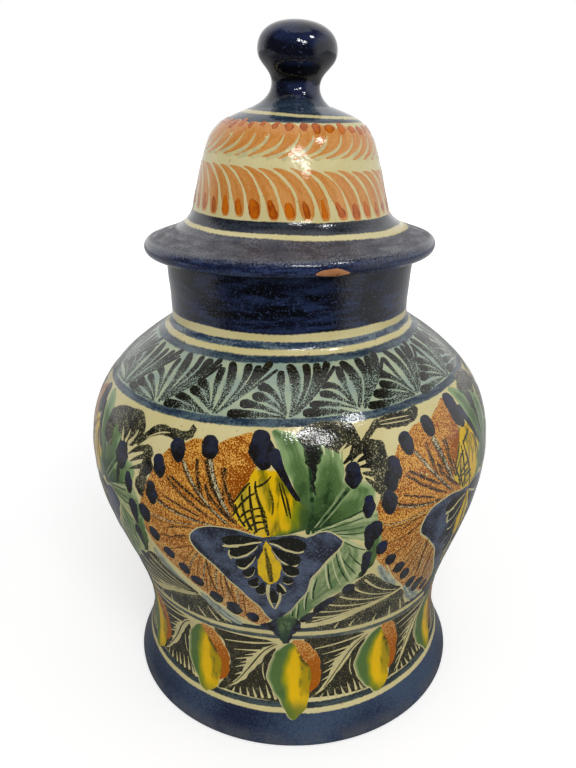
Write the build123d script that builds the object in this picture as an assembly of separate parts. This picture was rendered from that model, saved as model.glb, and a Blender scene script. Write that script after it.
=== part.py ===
from build123d import *

import os
from math import cos, radians, sin

# Lidded ceramic jar: a thrown belly on a flared foot, a collar neck luted to the shoulder, and a domed
# lid whose locating ring drops into the neck. Millimetres, +Z up, origin on the table under the axis.

# Jar outside, from the table up
foot_radius = 89.3  # widest ring of the flared foot
foot_edge_round = 1.2  # rounding of the foot's lower edge
foot_lean = 24.0  # degrees from upright that the foot leans in, just above its edge
foot_height = 36.0  # table to the waist
waist_radius = 80.2  # narrowest ring between the foot and the belly
belly_rise = 98.0  # waist to the widest ring
belly_radius = 102.5  # widest ring
shoulder_rise = 66.5  # widest ring to the seam under the neck
shoulder_pitch = 33.0  # degrees above level that the shoulder runs in towards the neck
neck_hollow = 9.0  # radius of the hollow where the shoulder turns up into the neck
neck_radius = 58.8  # neck at the seam
neck_height = 28.1  # seam to the rim
rim_radius = 60.2  # neck at the rim
rim_round = 1.2  # rounding of the rim's two edges

# Jar inside and underneath
wall = 7.0  # belly, shoulder and neck
floor_thickness = 9.0
floor_corner = 18.0  # radius where the wall turns into the floor
foot_recess = 3.0  # depth of the hollow underside
foot_ring_width = 14.0  # the ring that the jar stands on

# Lid, from the rim up
brim_radius = 70.4  # widest ring of the brim
lip_radius = 3.8  # rounding of the brim's edge, half of its thickness
brim_pitch = 20.0  # degrees above level that the brim leaves its edge
dome_foot_rise = 20.9  # rim to the foot of the dome
dome_foot_radius = 46.8
dome_lean = 13.8  # degrees from upright that the dome leans in at its foot
dome_side_rise = 25.2  # foot of the dome to its shoulder
dome_shoulder_radius = 40.4
dome_shoulder_lean = 18.4  # degrees from upright at the shoulder
crown_rise = 18.8  # dome's shoulder to the seat of the knob
crown_radius = 19.0  # seat of the knob
crown_pitch = 22.0  # degrees above level that the crown reaches the seat
lid_wall = 6.0

# Locating ring under the brim
ring_depth = 14.0
ring_wall = 6.0
ring_clearance = 1.5  # all round, between the ring and the neck
ring_round = 1.5  # rounding of its lower edges

# Knob, luted to the crown by hand, a little off the axis and leaning
knob_setback = 0.8  # crown left bare round the knob's foot
knob_pitch = 30.0  # degrees above level that the knob's foot starts
knob_offset = 1.5  # off the axis, along X
knob_lean = 3.5  # degrees, towards +X
stem_rise = 9.5  # seat to the narrowest ring
stem_radius = 11.2
ball_rise = 14.5  # narrowest ring to the widest
ball_radius = 18.2
cap_rise = 12.5  # widest ring to the top
knob_tuck = 2.5  # foot made longer than needed, then cut level with the crown

# Fullness of the curves, as a share of the straight distance between their ends
even_fullness = 0.36
shoulder_fullness = 0.41
crown_fullness = 0.48
round_fullness = 0.42

# Levels and radii that several pieces share
waist_level = foot_height
belly_level = waist_level + belly_rise
seam_level = belly_level + shoulder_rise
rim_level = seam_level + neck_height
dome_foot_level = rim_level + dome_foot_rise
dome_shoulder_level = dome_foot_level + dome_side_rise
crown_level = dome_shoulder_level + crown_rise
throat_radius = neck_radius - wall
ring_radius = throat_radius - ring_clearance
lid_mouth_radius = ring_radius - ring_wall


def heading(pitch):
    """Unit direction that runs inwards and up, pitch degrees above level."""
    return Vector(-cos(radians(pitch)), sin(radians(pitch)))


def inset(point, pitch, depth):
    """The point moved depth into the clay, square to an outline that runs inwards at pitch."""
    way = heading(pitch)
    return Vector(*point) + Vector(-way.Y, way.X) * depth


def sweep(start, start_pitch, end, end_pitch, fullness):
    """Cubic from start to end that leaves and arrives at the given pitches."""
    a = Vector(*start)
    b = Vector(*end)
    reach = (b - a).length * fullness
    return Bezier(a, a + heading(start_pitch) * reach, b - heading(end_pitch) * reach, b)


def turned(edges):
    """Solid of revolution about Z from the closed outline of radius and height."""
    return revolve(Plane.XZ * make_face(edges), Axis.Z)


def belly_lines(depth):
    """Waist to the neck's seam as edges, depth inside the outer face."""
    hollow = neck_hollow + depth
    centre = Vector(neck_radius + neck_hollow, seam_level)
    turn = radians(90 - shoulder_pitch)
    waist = Vector(waist_radius - depth, waist_level)
    widest = Vector(belly_radius - depth, belly_level)
    hollow_foot = centre - Vector(hollow * cos(turn), hollow * sin(turn))
    hollow_middle = centre - Vector(hollow * cos(turn / 2), hollow * sin(turn / 2))
    hollow_top = centre - Vector(hollow, 0)
    return [
        sweep(waist, 90, widest, 90, even_fullness),
        sweep(widest, 90, hollow_foot, shoulder_pitch, shoulder_fullness),
        ThreePointArc(hollow_foot, hollow_middle, hollow_top),
    ]


def jar_body():
    """Foot, belly and shoulder, thrown in one, with the floor and the recessed underside."""
    floor_level = foot_recess + floor_thickness
    recess_radius = foot_radius - foot_ring_width
    inner_waist = waist_radius - wall
    corner_level = floor_level + floor_corner
    edge_centre = Vector(foot_radius - foot_edge_round, foot_edge_round)
    edge_side = edge_centre + Vector(foot_edge_round, 0)
    edge_top = edge_centre + inset((0, 0), 90 - foot_lean, -foot_edge_round)
    flare = sweep(edge_top, 90 - foot_lean, (waist_radius, waist_level), 90, even_fullness)
    section = [
        Line((0, foot_recess), (recess_radius, foot_recess)),
        Line((recess_radius, foot_recess), (recess_radius, 0)),
        Line((recess_radius, 0), (foot_radius - foot_edge_round, 0)),
        RadiusArc((foot_radius - foot_edge_round, 0), edge_side, -foot_edge_round),
        RadiusArc(edge_side, edge_top, -foot_edge_round),
        flare,
        *belly_lines(0),
        Line((neck_radius, seam_level), (throat_radius, seam_level)),
        *belly_lines(wall),
        Line((inner_waist, waist_level), (inner_waist, corner_level)),
        RadiusArc((inner_waist, corner_level), (inner_waist - floor_corner, floor_level), floor_corner),
        Line((inner_waist - floor_corner, floor_level), (0, floor_level)),
        Line((0, floor_level), (0, foot_recess)),
    ]
    return turned(section)


def jar_neck():
    """Collar luted to the shoulder, with a straight throat and a slightly flared outside."""
    rim_edge = rim_radius - rim_round
    throat_edge = throat_radius + rim_round
    edge_level = rim_level - rim_round
    outside = sweep((neck_radius, seam_level), 90, (rim_radius, edge_level), 90, even_fullness)
    section = [
        outside,
        RadiusArc((rim_radius, edge_level), (rim_edge, rim_level), -rim_round),
        Line((rim_edge, rim_level), (throat_edge, rim_level)),
        RadiusArc((throat_edge, rim_level), (throat_radius, edge_level), -rim_round),
        Line((throat_radius, edge_level), (throat_radius, seam_level)),
        Line((throat_radius, seam_level), (neck_radius, seam_level)),
    ]
    return turned(section)


def lid_dome():
    """Brim, dome and crown of the lid, thrown in one and hollow underneath."""
    lip_centre = Vector(brim_radius - lip_radius, rim_level + lip_radius)
    lip_side = lip_centre + Vector(lip_radius, 0)
    lip_top = lip_centre + inset((0, 0), brim_pitch, -lip_radius)
    foot = (dome_foot_radius, dome_foot_level)
    shoulder = (dome_shoulder_radius, dome_shoulder_level)
    crown = (crown_radius, crown_level)
    foot_pitch = 90 - dome_lean
    shoulder_pitch_here = 90 - dome_shoulder_lean
    inner_foot = inset(foot, foot_pitch, lid_wall)
    inner_shoulder = inset(shoulder, shoulder_pitch_here, lid_wall)
    ceiling = inset(crown, crown_pitch, lid_wall)
    mouth = (lid_mouth_radius, rim_level)
    section = [
        Line(mouth, (lip_centre.X, rim_level)),
        RadiusArc((lip_centre.X, rim_level), lip_side, -lip_radius),
        RadiusArc(lip_side, lip_top, -lip_radius),
        sweep(lip_top, brim_pitch, foot, foot_pitch, even_fullness),
        sweep(foot, foot_pitch, shoulder, shoulder_pitch_here, even_fullness),
        sweep(shoulder, shoulder_pitch_here, crown, crown_pitch, crown_fullness),
        Line(crown, (0, crown_level)),
        Line((0, crown_level), (0, ceiling.Y)),
        Line((0, ceiling.Y), ceiling),
        sweep(inner_shoulder, shoulder_pitch_here, ceiling, crown_pitch, crown_fullness),
        sweep(inner_foot, foot_pitch, inner_shoulder, shoulder_pitch_here, even_fullness),
        sweep(mouth, 90, inner_foot, foot_pitch, even_fullness),
    ]
    return turned(section)


def lid_locating_ring():
    """Ring luted under the brim that keeps the lid centred in the neck."""
    low = rim_level - ring_depth
    section = [
        Line((lid_mouth_radius, rim_level), (ring_radius, rim_level)),
        Line((ring_radius, rim_level), (ring_radius, low + ring_round)),
        RadiusArc((ring_radius, low + ring_round), (ring_radius - ring_round, low), ring_round),
        Line((ring_radius - ring_round, low), (lid_mouth_radius + ring_round, low)),
        RadiusArc((lid_mouth_radius + ring_round, low), (lid_mouth_radius, low + ring_round), ring_round),
        Line((lid_mouth_radius, low + ring_round), (lid_mouth_radius, rim_level)),
    ]
    return turned(section)


def lid_knob():
    """Round knob on a drawn-in stem, leaning a little and cut level where it sits on the crown."""
    foot = Vector(crown_radius - knob_setback, 0)
    tucked = foot - heading(knob_pitch) * (knob_tuck / sin(radians(knob_pitch)))
    stem = Vector(stem_radius, stem_rise)
    ball = Vector(ball_radius, stem_rise + ball_rise)
    top = Vector(0, stem_rise + ball_rise + cap_rise)
    section = [
        Line((0, -knob_tuck), tucked),
        Line(tucked, foot),
        sweep(foot, knob_pitch, stem, 90, even_fullness),
        sweep(stem, 90, ball, 90, round_fullness),
        sweep(ball, 90, top, 0, round_fullness),
        Line(top, (0, -knob_tuck)),
    ]
    seat = Pos(knob_offset, 0, crown_level)
    leaning = seat * Rot(0, knob_lean, 0) * turned(section)
    return split(leaning, bisect_by=Plane.XY.offset(crown_level), keep=Keep.TOP)


os.makedirs("parts", exist_ok=True)
export_step(jar_body(), "parts/jar_body.step")
export_step(jar_neck(), "parts/jar_neck.step")
export_step(lid_dome(), "parts/lid_dome.step")
export_step(lid_locating_ring(), "parts/lid_locating_ring.step")
export_step(lid_knob(), "parts/lid_knob.step")
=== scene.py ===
import bpy
import numpy as np
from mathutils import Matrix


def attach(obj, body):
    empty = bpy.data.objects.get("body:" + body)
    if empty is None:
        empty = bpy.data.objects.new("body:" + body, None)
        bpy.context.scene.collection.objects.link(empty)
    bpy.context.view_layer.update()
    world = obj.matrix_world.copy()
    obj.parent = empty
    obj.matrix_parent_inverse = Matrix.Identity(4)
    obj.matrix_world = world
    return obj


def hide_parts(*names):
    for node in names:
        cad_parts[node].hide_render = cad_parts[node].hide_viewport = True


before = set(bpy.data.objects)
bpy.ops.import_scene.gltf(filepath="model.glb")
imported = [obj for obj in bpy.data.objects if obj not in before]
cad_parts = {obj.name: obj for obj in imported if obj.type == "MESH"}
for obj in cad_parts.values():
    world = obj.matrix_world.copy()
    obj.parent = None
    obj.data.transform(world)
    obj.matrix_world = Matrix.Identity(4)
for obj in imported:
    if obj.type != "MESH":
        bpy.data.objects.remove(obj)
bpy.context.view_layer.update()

# Jar body. Earthenware thrown in one from the foot to the shoulder, dipped in cream tin glaze and banded
# with cobalt and celadon on the wheel. The shell follows the thrown outline outside, the wall inside and
# the recessed underside, which stays bare. All lengths below are millimetres, all turns degrees.
FOOT_RADIUS = 89.3
FOOT_EDGE_ROUND = 1.2
FOOT_PITCH = 66.0
FOOT_RECESS = 3.0
FOOT_RING_WIDTH = 14.0
FLOOR_LEVEL = 12.0
FLOOR_CORNER = 18.0
WAIST = (80.2, 36.0)
BELLY = (102.5, 134.0)
SHOULDER_PITCH = 33.0
SEAM_LEVEL = 200.5
NECK_HOLLOW = 9.0
NECK_RADIUS = 58.8
WALL = 7.0
EVEN_FULLNESS = 0.36
SHOULDER_FULLNESS = 0.41
ROUND_STEPS = 256
METRES = 0.001


def heading(pitch):
    """Unit step in radius and height that runs inwards and up, pitch degrees above level."""
    return np.array([-np.cos(np.radians(pitch)), np.sin(np.radians(pitch))])


def sweep(start, start_pitch, end, end_pitch, fullness):
    """Cubic in radius and height that leaves start and reaches end at the given pitches."""
    start = np.asarray(start, float)
    end = np.asarray(end, float)
    reach = np.linalg.norm(end - start) * fullness
    t = np.linspace(0, 1, 400)[:, None]
    first = start + heading(start_pitch) * reach
    second = end - heading(end_pitch) * reach
    return start * (1 - t) ** 3 + first * 3 * t * (1 - t) ** 2 + second * 3 * t * t * (1 - t) + end * t ** 3


def arc(centre, radius, start, end):
    """Arc in radius and height, from one angle to another, counted from straight outwards."""
    angle = np.radians(np.linspace(start, end, 60))
    return np.asarray(centre) + radius * np.stack([np.cos(angle), np.sin(angle)], -1)


def even(points, spacing):
    """The same line with its points set at an even spacing, and one more close to each end, so that a corner
    there shades sharp."""
    far = np.r_[0, np.cumsum(np.hypot(*np.diff(points, axis=0).T))]
    at = np.linspace(0, far[-1], int(far[-1] / spacing) + 2)
    at = np.r_[0, 0.04, at[1:-1], far[-1] - 0.04, far[-1]]
    return np.stack([np.interp(at, far, points[:, 0]), np.interp(at, far, points[:, 1])], -1)


def flat(*corners):
    """Straight runs from corner to corner, with a point close to each corner so that it shades sharp."""
    corners = np.asarray(corners, float)
    share = np.array([0, 0.02, 0.5, 0.98])[None, :, None]
    runs = corners[:-1, None] + (corners[1:] - corners[:-1])[:, None] * share
    return np.vstack([runs.reshape(-1, 2), corners[-1:]])


def thrown(radius, height, turn):
    """Point at a radius, height and turn to the right of the front, moved as a hand-thrown wall is: a little
    out of round, faintly ridged by the fingers, and on an axis that sways by less than a millimetre."""
    angle = np.radians(turn)
    oval = 0.16 * np.sin(2 * angle + height / 70) + 0.10 * np.sin(3 * angle - height / 45 + 1.0)
    ridges = 0.05 * np.sin(height / 2.1 + angle) + 0.04 * np.sin(height / 3.7 - 2 * angle)
    reach = radius + (oval + ridges) * np.clip(radius / 60, 0, 1)
    sway = 0.8 * np.cos(np.pi * height / 165)
    return np.stack([reach * np.sin(angle) + sway, -reach * np.cos(angle), height + 0 * angle], -1)


def belly_outline(depth):
    """Waist to the neck's seam, depth inside the outer face."""
    hollow_centre = np.array([NECK_RADIUS + NECK_HOLLOW, SEAM_LEVEL])
    hollow = arc(hollow_centre, NECK_HOLLOW + depth, 270 - SHOULDER_PITCH, 180)
    waist = (WAIST[0] - depth, WAIST[1])
    widest = (BELLY[0] - depth, BELLY[1])
    lower = sweep(waist, 90, widest, 90, EVEN_FULLNESS)
    upper = sweep(widest, 90, hollow[0], SHOULDER_PITCH, SHOULDER_FULLNESS)
    return np.vstack([lower, upper[1:], hollow[1:]])


edge_centre = (FOOT_RADIUS - FOOT_EDGE_ROUND, FOOT_EDGE_ROUND)
foot_edge = arc(edge_centre, FOOT_EDGE_ROUND, -90, 90 - FOOT_PITCH)
flare = sweep(foot_edge[-1], FOOT_PITCH, WAIST, 90, EVEN_FULLNESS)
jar_outside = np.vstack([foot_edge, flare[1:], belly_outline(0)[1:]])
foot_ring_inside = FOOT_RADIUS - FOOT_RING_WIDTH
inner_waist = WAIST[0] - WALL
corner_centre = (inner_waist - FLOOR_CORNER, FLOOR_LEVEL + FLOOR_CORNER)
recess_corner = (foot_ring_inside, FOOT_RECESS)
jar_underside = flat((30, FOOT_RECESS), recess_corner, (foot_ring_inside, 0), jar_outside[0])
jar_wall_face = even(jar_outside, 1.2)
jar_seam = flat(jar_outside[-1], (NECK_RADIUS - WALL, SEAM_LEVEL))
jar_inside = even(np.vstack([belly_outline(WALL)[::-1], arc(corner_centre, FLOOR_CORNER, 0, -90)]), 3.0)
jar_floor = flat(jar_inside[-1], (20, FLOOR_LEVEL))
jar_section = np.vstack([jar_underside[:-1], jar_wall_face, jar_seam[1:], jar_inside[1:], jar_floor[1:]])


def lathe(section, closed, place=thrown):
    """A section of radius and height carried round the axis: the points of every ring, quads between rings,
    and either a closed loop of rings or a fan to the axis at both ends."""
    turn = np.arange(ROUND_STEPS) * 360 / ROUND_STEPS
    points = place(section[:, :1], section[:, 1:], turn[None, :])
    ids = np.arange(points.shape[0] * ROUND_STEPS).reshape(points.shape[:2])
    after = np.roll(ids, -1, axis=1)
    rows = len(ids) if closed else len(ids) - 1
    upper = np.roll(ids, -1, axis=0)[:rows]
    upper_after = np.roll(after, -1, axis=0)[:rows]
    quads = np.stack([ids[:rows], after[:rows], upper_after, upper], -1).reshape(-1, 4)
    points = points.reshape(-1, 3)
    faces = quads.tolist()
    row_of_face = np.repeat(np.arange(rows), ROUND_STEPS)
    if not closed:
        ends = place(np.zeros((2, 1)), section[[0, -1], 1:], np.zeros((1, 1))).reshape(2, 3)
        first = len(points)
        points = np.vstack([points, ends])
        low = np.stack([np.full(ROUND_STEPS, first), after[0], ids[0]], -1)
        high = np.stack([np.full(ROUND_STEPS, first + 1), ids[-1], after[-1]], -1)
        faces = faces + low.tolist() + high.tolist()
        row_of_face = np.r_[row_of_face, np.zeros(ROUND_STEPS), np.full(ROUND_STEPS, rows - 1)]
    return points, faces, row_of_face


def add_piece(name, points, faces, materials, body, slot, finish=None, normals=None, **shares):
    """A new mesh piece in metres, smooth shaded, riding on a body. finish picks each face's material, normals
    are the clay's own under a coat of paint, and shares are values per point that its material reads."""
    mesh = bpy.data.meshes.new(name)
    mesh.from_pydata((points * METRES).tolist(), [], faces)
    mesh.polygons.foreach_set("use_smooth", np.ones(len(faces), bool))
    for material in materials:
        mesh.materials.append(material)
    if finish is not None:
        mesh.polygons.foreach_set("material_index", np.asarray(finish, np.int32))
    for share, values in shares.items():
        layer = mesh.attributes.new(share, "FLOAT", "POINT")
        layer.data.foreach_set("value", np.asarray(values, np.float32).ravel())
    mesh.update()
    if normals is not None:
        mesh.normals_split_custom_set_from_vertices(normals.tolist())
    piece = bpy.data.objects.new(name, mesh)
    bpy.context.scene.collection.objects.link(piece)
    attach(piece, body)
    return piece


class Paint:
    """One value, colour or vector in a material's nodes. Arithmetic on values adds Math nodes, and make()
    adds any other node."""

    def __init__(self, tree, socket=None):
        self.tree = tree
        self.socket = socket

    def make(self, kind, settings, sockets, output=0):
        """Adds a node of that kind, sets it up, fills or links its sockets, and gives one of its outputs."""
        node = self.tree.nodes.new(kind)
        for key, value in settings.items():
            setattr(node, key, value)
        for key, value in sockets.items():
            if isinstance(value, Paint):
                self.tree.links.new(value.socket, node.inputs[key])
            else:
                node.inputs[key].default_value = value
        return Paint(self.tree, node.outputs[output])

    def math(self, operation, first, second):
        return self.make("ShaderNodeMath", {"operation": operation}, {0: first, 1: second})

    def __add__(self, other):
        return self.math("ADD", self, other)

    def __radd__(self, other):
        return self.math("ADD", other, self)

    def __sub__(self, other):
        return self.math("SUBTRACT", self, other)

    def __rsub__(self, other):
        return self.math("SUBTRACT", other, self)

    def __mul__(self, other):
        return self.math("MULTIPLY", self, other)

    def __truediv__(self, other):
        return self.math("DIVIDE", self, other)

    def __pow__(self, other):
        return self.math("POWER", self, other)

    def rise(self, low, high):
        """0 below low, 1 above high, eased between them."""
        ends = {"Value": self, "From Min": low, "From Max": high}
        return self.make("ShaderNodeMapRange", {"interpolation_type": "SMOOTHSTEP"}, ends)

    def blend(self, first, second):
        """The first colour where this value is 0, the second where it is 1."""
        return self.make("ShaderNodeMix", {"data_type": "RGBA"}, {0: self, 6: first, 7: second}, 2)

    def scaled(self, across, deep, up):
        """A vector with its three parts multiplied."""
        sockets = {0: self, 1: (across, deep, up)}
        return self.make("ShaderNodeVectorMath", {"operation": "MULTIPLY"}, sockets)

    def part(self, axis):
        """One part of a vector, X, Y or Z."""
        return self.make("ShaderNodeSeparateXYZ", {}, {0: self}, axis)

    def noise(self, size, detail=1.0):
        """Cloudy noise about 0.5, with lumps of the given size."""
        sockets = {"Vector": self, "Scale": 1 / size, "Detail": detail}
        return self.make("ShaderNodeTexNoise", {}, sockets)

    def share(self, name):
        """A value that the mesh carries per point."""
        return self.make("ShaderNodeAttribute", {"attribute_name": name}, {}, "Fac")


def colour(red, green, blue):
    """Linear colour of a paint given as the 0 to 255 levels that a screen shows."""
    level = np.array([red, green, blue]) / 255
    linear = np.where(level <= 0.04045, level / 12.92, ((level + 0.055) / 1.055) ** 2.4)
    return (*linear.tolist(), 1.0)


def glaze(name, tint, gloss=0.13, uneven=1.0):
    """Material of fired glaze. tint works out its colour from the place on the clay in millimetres. The clear
    glass on top is gently uneven, in soft dents of 16 mm and a finer orange peel."""
    material = bpy.data.materials.new(name)
    material.use_nodes = True
    tree = material.node_tree
    start = Paint(tree)
    metres = start.make("ShaderNodeTexCoord", {}, {}, "Object")
    place = metres.scaled(1000, 1000, 1000)
    height = place.noise(16, 0.0) + place.noise(4.5, 1.0) * 0.2 + place.noise(1.2, 1.0) * 0.5
    dents = {"Height": height, "Strength": 1.0, "Distance": 0.00016 * uneven}
    shader = tree.nodes["Principled BSDF"]
    tree.links.new(tint(place).socket, shader.inputs["Base Color"])
    shine = gloss(place) if callable(gloss) else gloss
    tree.links.new((shine + place.noise(6, 2.0) * 0.1 - 0.04).socket, shader.inputs["Roughness"])
    tree.links.new(start.make("ShaderNodeBump", {}, dents).socket, shader.inputs["Normal"])
    shader.inputs["IOR"].default_value = 1.5
    return material


CREAM = colour(207, 195, 138)
CREAM_WARM = colour(214, 202, 150)
SPECK = colour(120, 96, 60)
COBALT = colour(30, 48, 66)
COBALT_THIN = colour(82, 100, 108)
COBALT_DEEP = colour(20, 30, 56)
COBALT_FOOT = colour(64, 80, 104)
SLATE = colour(40, 50, 54)
SLATE_THIN = colour(70, 82, 82)
CELADON = colour(146, 164, 149)
CELADON_THIN = colour(172, 183, 150)


def cream_ground(place):
    """Cream tin glaze: two creams in soft clouds, with a few iron specks."""
    clouds = place.noise(28, 2.0).rise(0.4, 0.62).blend(CREAM, CREAM_WARM)
    return (place.noise(1.2, 0.0).rise(0.76, 0.84) * 0.45).blend(clouds, SPECK)


def banded_blue(place, thick, thin):
    """Blue laid on the turning wheel: streaks drawn out round the pot, and a fine grain."""
    streaks = place.scaled(1, 1, 7).noise(14, 3.0)
    grain = place.noise(1.1, 2.0)
    return (streaks * 0.6 + grain * 0.4).rise(0.42, 0.62).blend(thick, thin)


def jar_bands(place):
    """The jar's ground, band above band by height. The edges are ragged, and rows that the painter let drift
    follow the sine of the turn."""
    radius = (place.part("X") ** 2.0 + place.part("Y") ** 2.0) ** 0.5
    side = place.part("X") / radius
    ragged = (place.noise(1.6, 1.0) - 0.5) * 0.7 + (place.noise(30, 1.0) - 0.5) * 1.6
    level = place.part("Z") + ragged
    waist_row = level + side * 1.5 + side * side * 3.2
    ring_row = level - side * 1.6
    top_row = level - side * 0.4
    cream = cream_ground(place)
    blue = banded_blue(place, COBALT, COBALT_THIN)
    slate = banded_blue(place, SLATE, SLATE_THIN)
    slate_pale = banded_blue(place, colour(66, 76, 76), colour(110, 116, 106))
    ring_blue = banded_blue(place, colour(40, 58, 82), colour(108, 124, 130))
    celadon = place.noise(13, 2.0).rise(0.4, 0.62).blend(CELADON, CELADON_THIN)
    pools = place.scaled(1, 1, 1.6).noise(46, 1.0) * 0.6 + place.noise(0.9, 1.0) * 0.4
    foot_blue = pools.rise(0.3, 0.68).blend(COBALT_DEEP, COBALT_FOOT)
    worn = (1 - place.part("Z").rise(1.5, 9)) * place.noise(14, 2.0).rise(0.3, 0.6) * 0.7
    foot_worn = worn.blend(foot_blue, colour(84, 86, 90))
    tint = place.part("Z").rise(0.1, 0.9).blend(COBALT_DEEP, foot_worn)
    rows = [
        (level, 15.7, cream), (level, 18.2, slate), (level, 21.3, cream),
        (waist_row, 60.4, slate_pale), (waist_row, 63.0, cream),
        (waist_row, 65.9, slate), (waist_row, 69.0, cream),
        (ring_row, 172.0, blue), (ring_row, 174.7, celadon),
        (top_row, 191.2, blue), (top_row, 193.5, cream), (top_row, 195.7, ring_blue), (top_row, 198.8, cream),
    ]
    for row, edge, above in rows:
        tint = row.rise(edge - 0.3, edge + 0.3).blend(tint, above)
    return tint


def bare_clay(place):
    """Unglazed fired clay: terracotta with paler and darker grains."""
    clouds = place.noise(9, 3.0).rise(0.35, 0.65).blend(colour(176, 116, 72), colour(200, 142, 96))
    return (place.noise(0.8, 1.0).rise(0.6, 0.75) * 0.6).blend(clouds, colour(138, 84, 52))


def inside_glaze(place):
    """Thin cream glaze inside the pot, with throwing rings where it runs thin over the clay."""
    rings = place.scaled(0.2, 0.2, 1).noise(4, 2.0).rise(0.5, 0.75) * 0.35
    return rings.blend(cream_ground(place), colour(186, 150, 104))


jar_glaze = glaze("jar_glaze_banded", jar_bands)
pot_inside = glaze("pot_inside_glaze", inside_glaze, gloss=0.25)
clay = glaze("bare_clay", bare_clay, gloss=0.75, uneven=2.0)
points, faces, row = lathe(jar_section, closed=False)
wall_end = len(jar_underside) - 1 + len(jar_wall_face)
finish = np.where(row < len(jar_underside) - 1, 2, np.where(row < wall_end - 1, 0, 1))
jar_shell = add_piece("jar_shell", points, faces, [jar_glaze, pot_inside, clay], "jar", "jar_glaze", finish)
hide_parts("jar_body")

# Leaves of the foot band. Black stippled on the cream ground, one leaf to the left of each fruit, with a
# broad bare midrib and teeth scraped out beside it. Every coat of colour is a thin layer that follows the
# wall, and coats that overlap are lifted off it by different heights.
FRUIT_TURNS = np.array([0.5, 31.4, 62.6, 93.3, 122.5, 151.8, 181.0, 210.3, 239.5, 268.8, 298.0, 327.6])
EDGE_SINK = 0.06
COAT_BODY = 0.12
DEGREE_LENGTH = 1.7
SKIN_TOP = 228.6
outline_height = np.r_[jar_outside[:, 1], SKIN_TOP]
outline_radius = np.r_[jar_outside[:, 0], NECK_RADIUS]


def row_drift(turn, height):
    """How far a painted row strays up from its level: shares of the sine of the turn and of its square, that
    change with height."""
    levels = [20, 56, 61, 70, 110, 173, 196, 203]
    sine = np.sin(np.radians(turn))
    lean = np.interp(height, levels, [0, -0.3, -1.5, -1.5, 0, 1.6, 0.4, 0])
    sag = np.interp(height, levels, [0, -0.6, -3.2, -3.2, 0, 0, 0, 0])
    return lean * sine + sag * sine * sine


def jar_skin(turn, height):
    """Point of the jar's outside at a turn and a painter's height, which includes the drift of the rows."""
    level = height + row_drift(turn, height)
    return thrown(np.interp(level, outline_height, outline_radius), level, turn)


def skin_frame(skin, turn, height):
    """A skin's point and outward normal, and the millimetres in a degree of turn and in a step of height."""
    step = 0.5
    right = (skin(turn + step, height) - skin(turn - step, height)) / (2 * step)
    up = (skin(turn, height + step) - skin(turn, height - step)) / (2 * step)
    normal = np.cross(right, up)
    normal = normal / np.linalg.norm(normal, axis=-1, keepdims=True)
    return skin(turn, height), normal, np.linalg.norm(right, axis=-1), np.linalg.norm(up, axis=-1)


def through(points, count=40):
    """Smooth line through points of turn and height: cubic pieces whose tangents are the points'
    differences."""
    points = np.asarray(points, float)
    gaps = np.hypot(*(np.diff(points, axis=0) * [DEGREE_LENGTH, 1.0]).T)
    knots = np.r_[0, np.cumsum(gaps)]
    tangents = np.gradient(points, knots, axis=0)
    at = np.linspace(0, knots[-1], count)
    piece = np.clip(np.searchsorted(knots, at, side="right") - 1, 0, len(knots) - 2)
    span = (knots[piece + 1] - knots[piece])[:, None]
    t = (at - knots[piece])[:, None] / span
    a = points[piece] * (1 + 2 * t) * (1 - t) ** 2 + tangents[piece] * span * t * (1 - t) ** 2
    b = points[piece + 1] * t * t * (3 - 2 * t) + tangents[piece + 1] * span * t * t * (t - 1)
    return a + b


def at_turns(points, turns, seed, loose=0.5, waver=0.2):
    """A smooth line repeated at each turn by an unsteady hand: whole copies after the first are moved a
    little, and every copy wavers by two sines along the line."""
    rng = np.random.default_rng(seed)
    lines = np.repeat(through(points)[None], len(turns), axis=0)
    lines[..., 0] += np.asarray(turns)[:, None]
    lines[1:] += rng.normal(0, loose, (len(turns) - 1, 1, 2))
    phase = np.random.default_rng(seed + len(points)).random((len(turns), 1, 2)) * 2 * np.pi
    t = np.linspace(0, 1, lines.shape[1])[:, None]
    return lines + waver * (np.sin(19 * t + phase) + 0.7 * np.sin(41 * t + 2 * phase))


def coat_faces(count, rows, columns):
    """Faces of closed coats. Each row of points is a loop over the top and back underneath, so a coat is a
    tube of quads with a face at each end."""
    ids = np.arange(count * rows * columns).reshape(count, rows, columns)
    loop = np.concatenate([ids, ids[..., :1]], axis=2)
    quads = np.stack([loop[:, :-1, :-1], loop[:, 1:, :-1], loop[:, 1:, 1:], loop[:, :-1, 1:]], -1)
    return quads.reshape(-1, 4).tolist() + ids[:, 0].tolist() + ids[:, -1, ::-1].tolist()


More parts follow.
